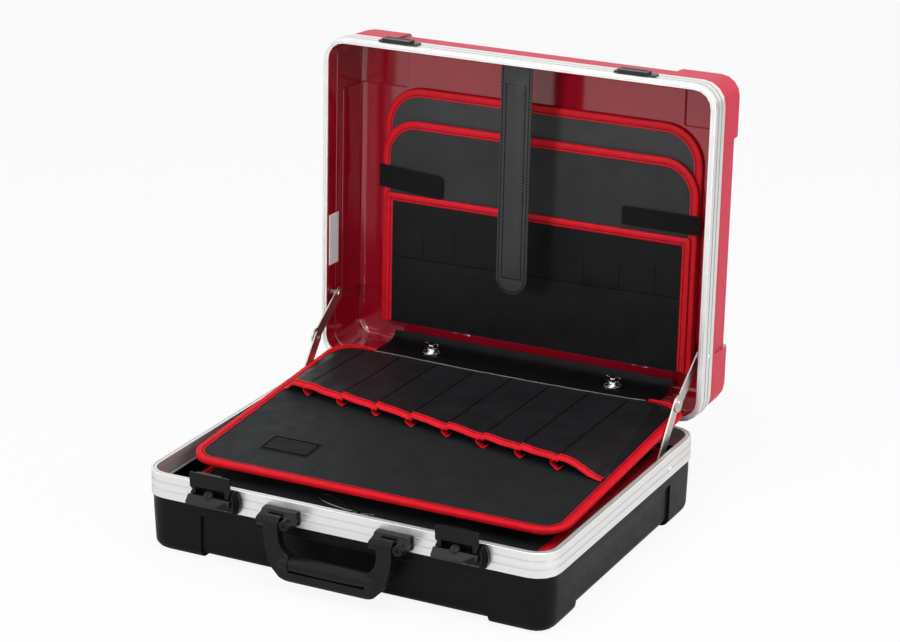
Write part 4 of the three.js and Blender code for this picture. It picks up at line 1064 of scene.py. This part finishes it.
def leather_strap():
    """Padded strap with rolled edges, a raised middle and two lines of stitches."""
    rings = []
    for s, wide in strap_stations():
        middle = STRAP_RAISED if RAISED_START <= s <= RAISED_END else STRAP_LOW
        ring = []
        for share, q in STRAP_SECTION:
            height = middle if abs(share) < 0.58 else q
            ring.append(in_lid(share * wide, s, height + pucker(share * 10, s, 0.18, 0.05)))
        rings.append(ring)
    add_mesh("strap_leather", skin(rings), STRAP_LEATHER, "strap", "centre_strap",
             split=50)
    for name, line in (("outer", outer_line()), ("inner", INNER_LINE)):
        pairs = []
        for a, b in pairwise(line):
            pairs += between(a, b, max(1, round(dist(a, b) / 12)))[:-1]
        points = [in_lid(x, s, STRAP_FACE) for x, s in [*pairs, line[-1]]]
        stitches(f"strap_stitches_{name}", points, LID_OUT, "strap", STRAP_STITCH)


# Flap between the lid and the tool board

FLAP_HALF = 170.0
FLAP_FRONT, FLAP_BACK = 0.7, 0.5
# The flap from its fold up the lid's wall, as (s, q)
FLAP_PROFILE = [
    (10.4, 15.4), (10.4, 24), (10.35, 34), (10.4, 44), (10.9, 51), (12.8, 58.2),
    (16.0, 62.4), (19.0, 64.6), (21.4, 65.8),
]
STUD_X = 111
WELT_S, WELT_Q, WELT_RADIUS = 12, 13.5, 0.8


def board_flap():
    """The sheet between the lid and the tool board, with slow waves between its studs."""
    def both_faces(i, x):
        s, q = FLAP_PROFILE[i]
        ns, nq = across(FLAP_PROFILE, i)
        near_stud = min(abs(abs(x) - STUD_X) / 30, 1)
        lift = pucker(x, q, 0.9, 0.03) * near_stud * (1 if 0 < i < 7 else 0.3)
        front, back = lift + FLAP_FRONT, lift - FLAP_BACK
        return in_lid(x, s + ns * front, q + nq * front), in_lid(x, s + ns * back, q + nq * back)

    cloth = sheet(range(len(FLAP_PROFILE)), along(-FLAP_HALF, FLAP_HALF, 90), both_faces)
    flap = add_mesh("flap_sheet", cloth, FLAP_CLOTH, "lid", "board_flap", split=60)
    flat = sum(dist(a, b) for a, b in pairwise(FLAP_PROFILE))


def fold_welt():
    """The round cord that the flap and the tool board fold on."""
    ring = circle(WELT_S, WELT_Q, WELT_RADIUS, 10)
    rings = [[in_lid(x, s, q) for s, q in ring] for x in along(-FLAP_HALF, FLAP_HALF, 120)]
    add_mesh("fold_welt", skin(rings), FLAP_CLOTH, "fold", "flap_fold")


# Small fittings

RIVET_RADIUS, RIVET_HEIGHT = 3.2, 0.9
# A rivet head's rings, as shares of its radius and height
RIVET_RINGS = ((1.0, -0.3), (1.0, 0.25), (0.86, 0.7), (0.55, 0.95), (0.2, 1.0))
# The lid lining's section, as (inset, q)
LINING = [(5.9, 0.9), (6.2, 0.5), (6.55, 0.9), (6.6, 18.2), (7.25, 18.9), (7.3, 21.2), (5.9, 21.2)]
LABEL_X, LABEL_S, LABEL_Q = -222.95, (105, 163), (4, 23.6)
# Levels of the label's plate, as (inset, rise)
LABEL_LEVELS = ((0.0, -0.45), (0.0, 0.35), (0.5, 0.5))


def rivet_head(name, centre, out, body, material):
    """A flattened rivet head on a rim frame's outer face."""
    side = out.orthogonal().normalized()
    other = out.cross(side)
    rings = []
    for share, rise in RIVET_RINGS:
        middle = centre + out * (rise * RIVET_HEIGHT * MM)
        ring = circle(0, 0, share * RIVET_RADIUS * MM, 20)
        rings.append([middle + side * u + other * v for u, v in ring])
    add_mesh(name, skin(rings), material, body, split=50)


def rivets():
    for side, sign in (("left", -1), ("right", 1)):
        x = sign * HALF_WIDTH
        out = Vector((sign, 0, 0))
        rivet_head(f"base_rivet_head_{side}", place(x, 108.9, 63), out, "base", BASE_FRAME_METAL)
        rivet_head(f"lid_rivet_head_{side}", in_lid(x, 71.5, 18), out, "lid", LID_FRAME_METAL)


def lid_lining():
    """Red plastic that lines the inner leg of the lid's frame."""
    rings = follow(LINING, outline, LID_RIM, (10, 8), lambda x, y, q: in_lid(x, HALF_DEPTH - y, q))
    add_mesh("lid_rim_lining", skin(rings, looped=True), LID_RED, "lid")


def blank_label():
    """The bare white plate on the lid's left inner wall."""
    (low, high), (near, deep) = LABEL_S, LABEL_Q
    rings = []
    for inset, rise in LABEL_LEVELS:
        corners = [(low + inset, near + inset), (high - inset, near + inset),
                   (high - inset, deep - inset), (low + inset, deep - inset)]
        rings.append([in_lid(LABEL_X + rise, s, q) for s, q in corners])
    add_mesh("blank_label", skin(rings), LABEL_WHITE, "lid", smooth=False)


# Stage, in metres and degrees

CAMERA_PLACE = (1.24700, -2.38133, 1.18755)
# Azimuth, elevation and roll
CAMERA_ANGLES = (27.1035, 19.7029, 0.2913)
CAMERA_LENS = 112.0
FLOOR_HALF, FLOOR_GAP = 14.0, 0.02
FLOOR_GLOW = 0.9
ROOM_LIGHT = 0.42
# The area lamps: place, aim, size and power
LAMPS = {
    "key": ((0.4, -0.9, 2.3), (0, 0, 0.15), 2.2, 34),
    "side": ((2.4, -0.2, 0.9), (0, 0.1, 0.2), 1.8, 20),
    "fill": ((-2.2, -1.6, 1.2), (0, 0, 0.15), 1.8, 12),
}
LID_SPOT = 150


def camera():
    azimuth, elevation, roll = (radians(a) for a in CAMERA_ANGLES)
    turn = (Matrix.Rotation(azimuth, 4, "Z") @ Matrix.Rotation(pi / 2 - elevation, 4, "X")
            @ Matrix.Rotation(roll, 4, "Z"))
    holder = bpy.data.objects.new("camera", bpy.data.cameras.new("camera"))
    holder.data.lens = CAMERA_LENS
    holder.matrix_world = Matrix.Translation(CAMERA_PLACE) @ turn
    scene.collection.objects.link(holder)
    scene.camera = holder


def floor():
    """A pale floor that the camera sees as nearly white, with the object's shadow on it."""
    mesh = bpy.data.meshes.new("floor")
    half, z = FLOOR_HALF, (FLOOR_Z - FLOOR_GAP) * MM
    mesh.from_pydata([(-half, -half, z), (half, -half, z), (half, half, z), (-half, half, z)], [],
                     [(0, 1, 2, 3)])
    plane = bpy.data.objects.new("floor", mesh)
    scene.collection.objects.link(plane)
    material, tree, shader = new_material("floor_white", (0.9, 0.9, 0.9), 0.9, 0.0, 0.1)
    seen = add_node(tree, "ShaderNodeLightPath", {}, "Is Camera Ray")
    glow = add_node(tree, "ShaderNodeEmission", {"Strength": 1.0}, "Emission")
    share = calculate("MULTIPLY", seen, FLOOR_GLOW)
    inputs = {"Fac": share, 1: shader.outputs["BSDF"], 2: glow}
    blend = add_node(tree, "ShaderNodeMixShader", inputs, "Shader")
    feed(blend, tree.nodes["Material Output"].inputs["Surface"])
    mesh.materials.append(material)


def room():
    """A plain room, white to the camera and in reflections and dimmer as a light."""
    world = bpy.data.worlds.new("studio")
    scene.world = world
    world.use_nodes = True
    tree = world.node_tree
    background = tree.nodes["Background"]
    feed((1, 1, 1), background.inputs["Color"])
    rays = tree.nodes.new("ShaderNodeLightPath")
    seen = rays.outputs["Is Camera Ray"]
    for other in ("Is Glossy Ray", "Is Transmission Ray"):
        seen = calculate("MAXIMUM", seen, rays.outputs[other])
    feed(spread(seen, ROOM_LIGHT, 1.0, 0, 1), background.inputs["Strength"])


def hang(light, spot, aim):
    """Puts a light at a spot, turned to what it lights."""
    holder = bpy.data.objects.new(light.name, light)
    holder.location = spot
    holder.rotation_euler = (Vector(aim) - Vector(spot)).to_track_quat("-Z", "Y").to_euler()
    scene.collection.objects.link(holder)


def lamps():
    """Three soft area lamps, and a spot lamp for the inside of the lid."""
    for name, (spot, aim, size, power) in LAMPS.items():
        light = bpy.data.lights.new(name, "AREA")
        light.shape = "SQUARE"
        light.size = size
        light.energy = power
        hang(light, spot, aim)
    light = bpy.data.lights.new("lid", "SPOT")
    light.energy = LID_SPOT
    light.spot_size = radians(19)
    light.spot_blend = 0.7
    light.shadow_soft_size = 0.25
    hang(light, (-0.2, -2.4, 1.1), (-0.02, 0.27, 0.37))


scene.view_settings.view_transform = "Standard"
camera()
floor()
room()
lamps()
dress_nodes()
bound_board("tool_board", TOOL_BOARD, on_board, -TOOL_PLATE / 2, "tool_board", TOOL_PLATE)
bound_board("lower_board", LOWER_BOARD, on_lower, -BOARD_PLATE / 2, "base")
bound_board("organiser_back", BACK_PLAN, organiser_place(BACK_Q), 0, "lid", closed=False)
bound_board("organiser_front", FRONT_PLAN, organiser_place(FRONT_Q), 0, "organiser_front", closed=False)
pocket_row()
pocket_seam_shadows()
pocket_side_fold_shade()
mouth_binding()
fold_cover()
board_patch()
organiser_pocket()
organiser_seams()
organiser_pocket_tape()
organiser_tabs()
leather_strap()
board_flap()
fold_welt()
rivets()
lid_lining()
blank_label()
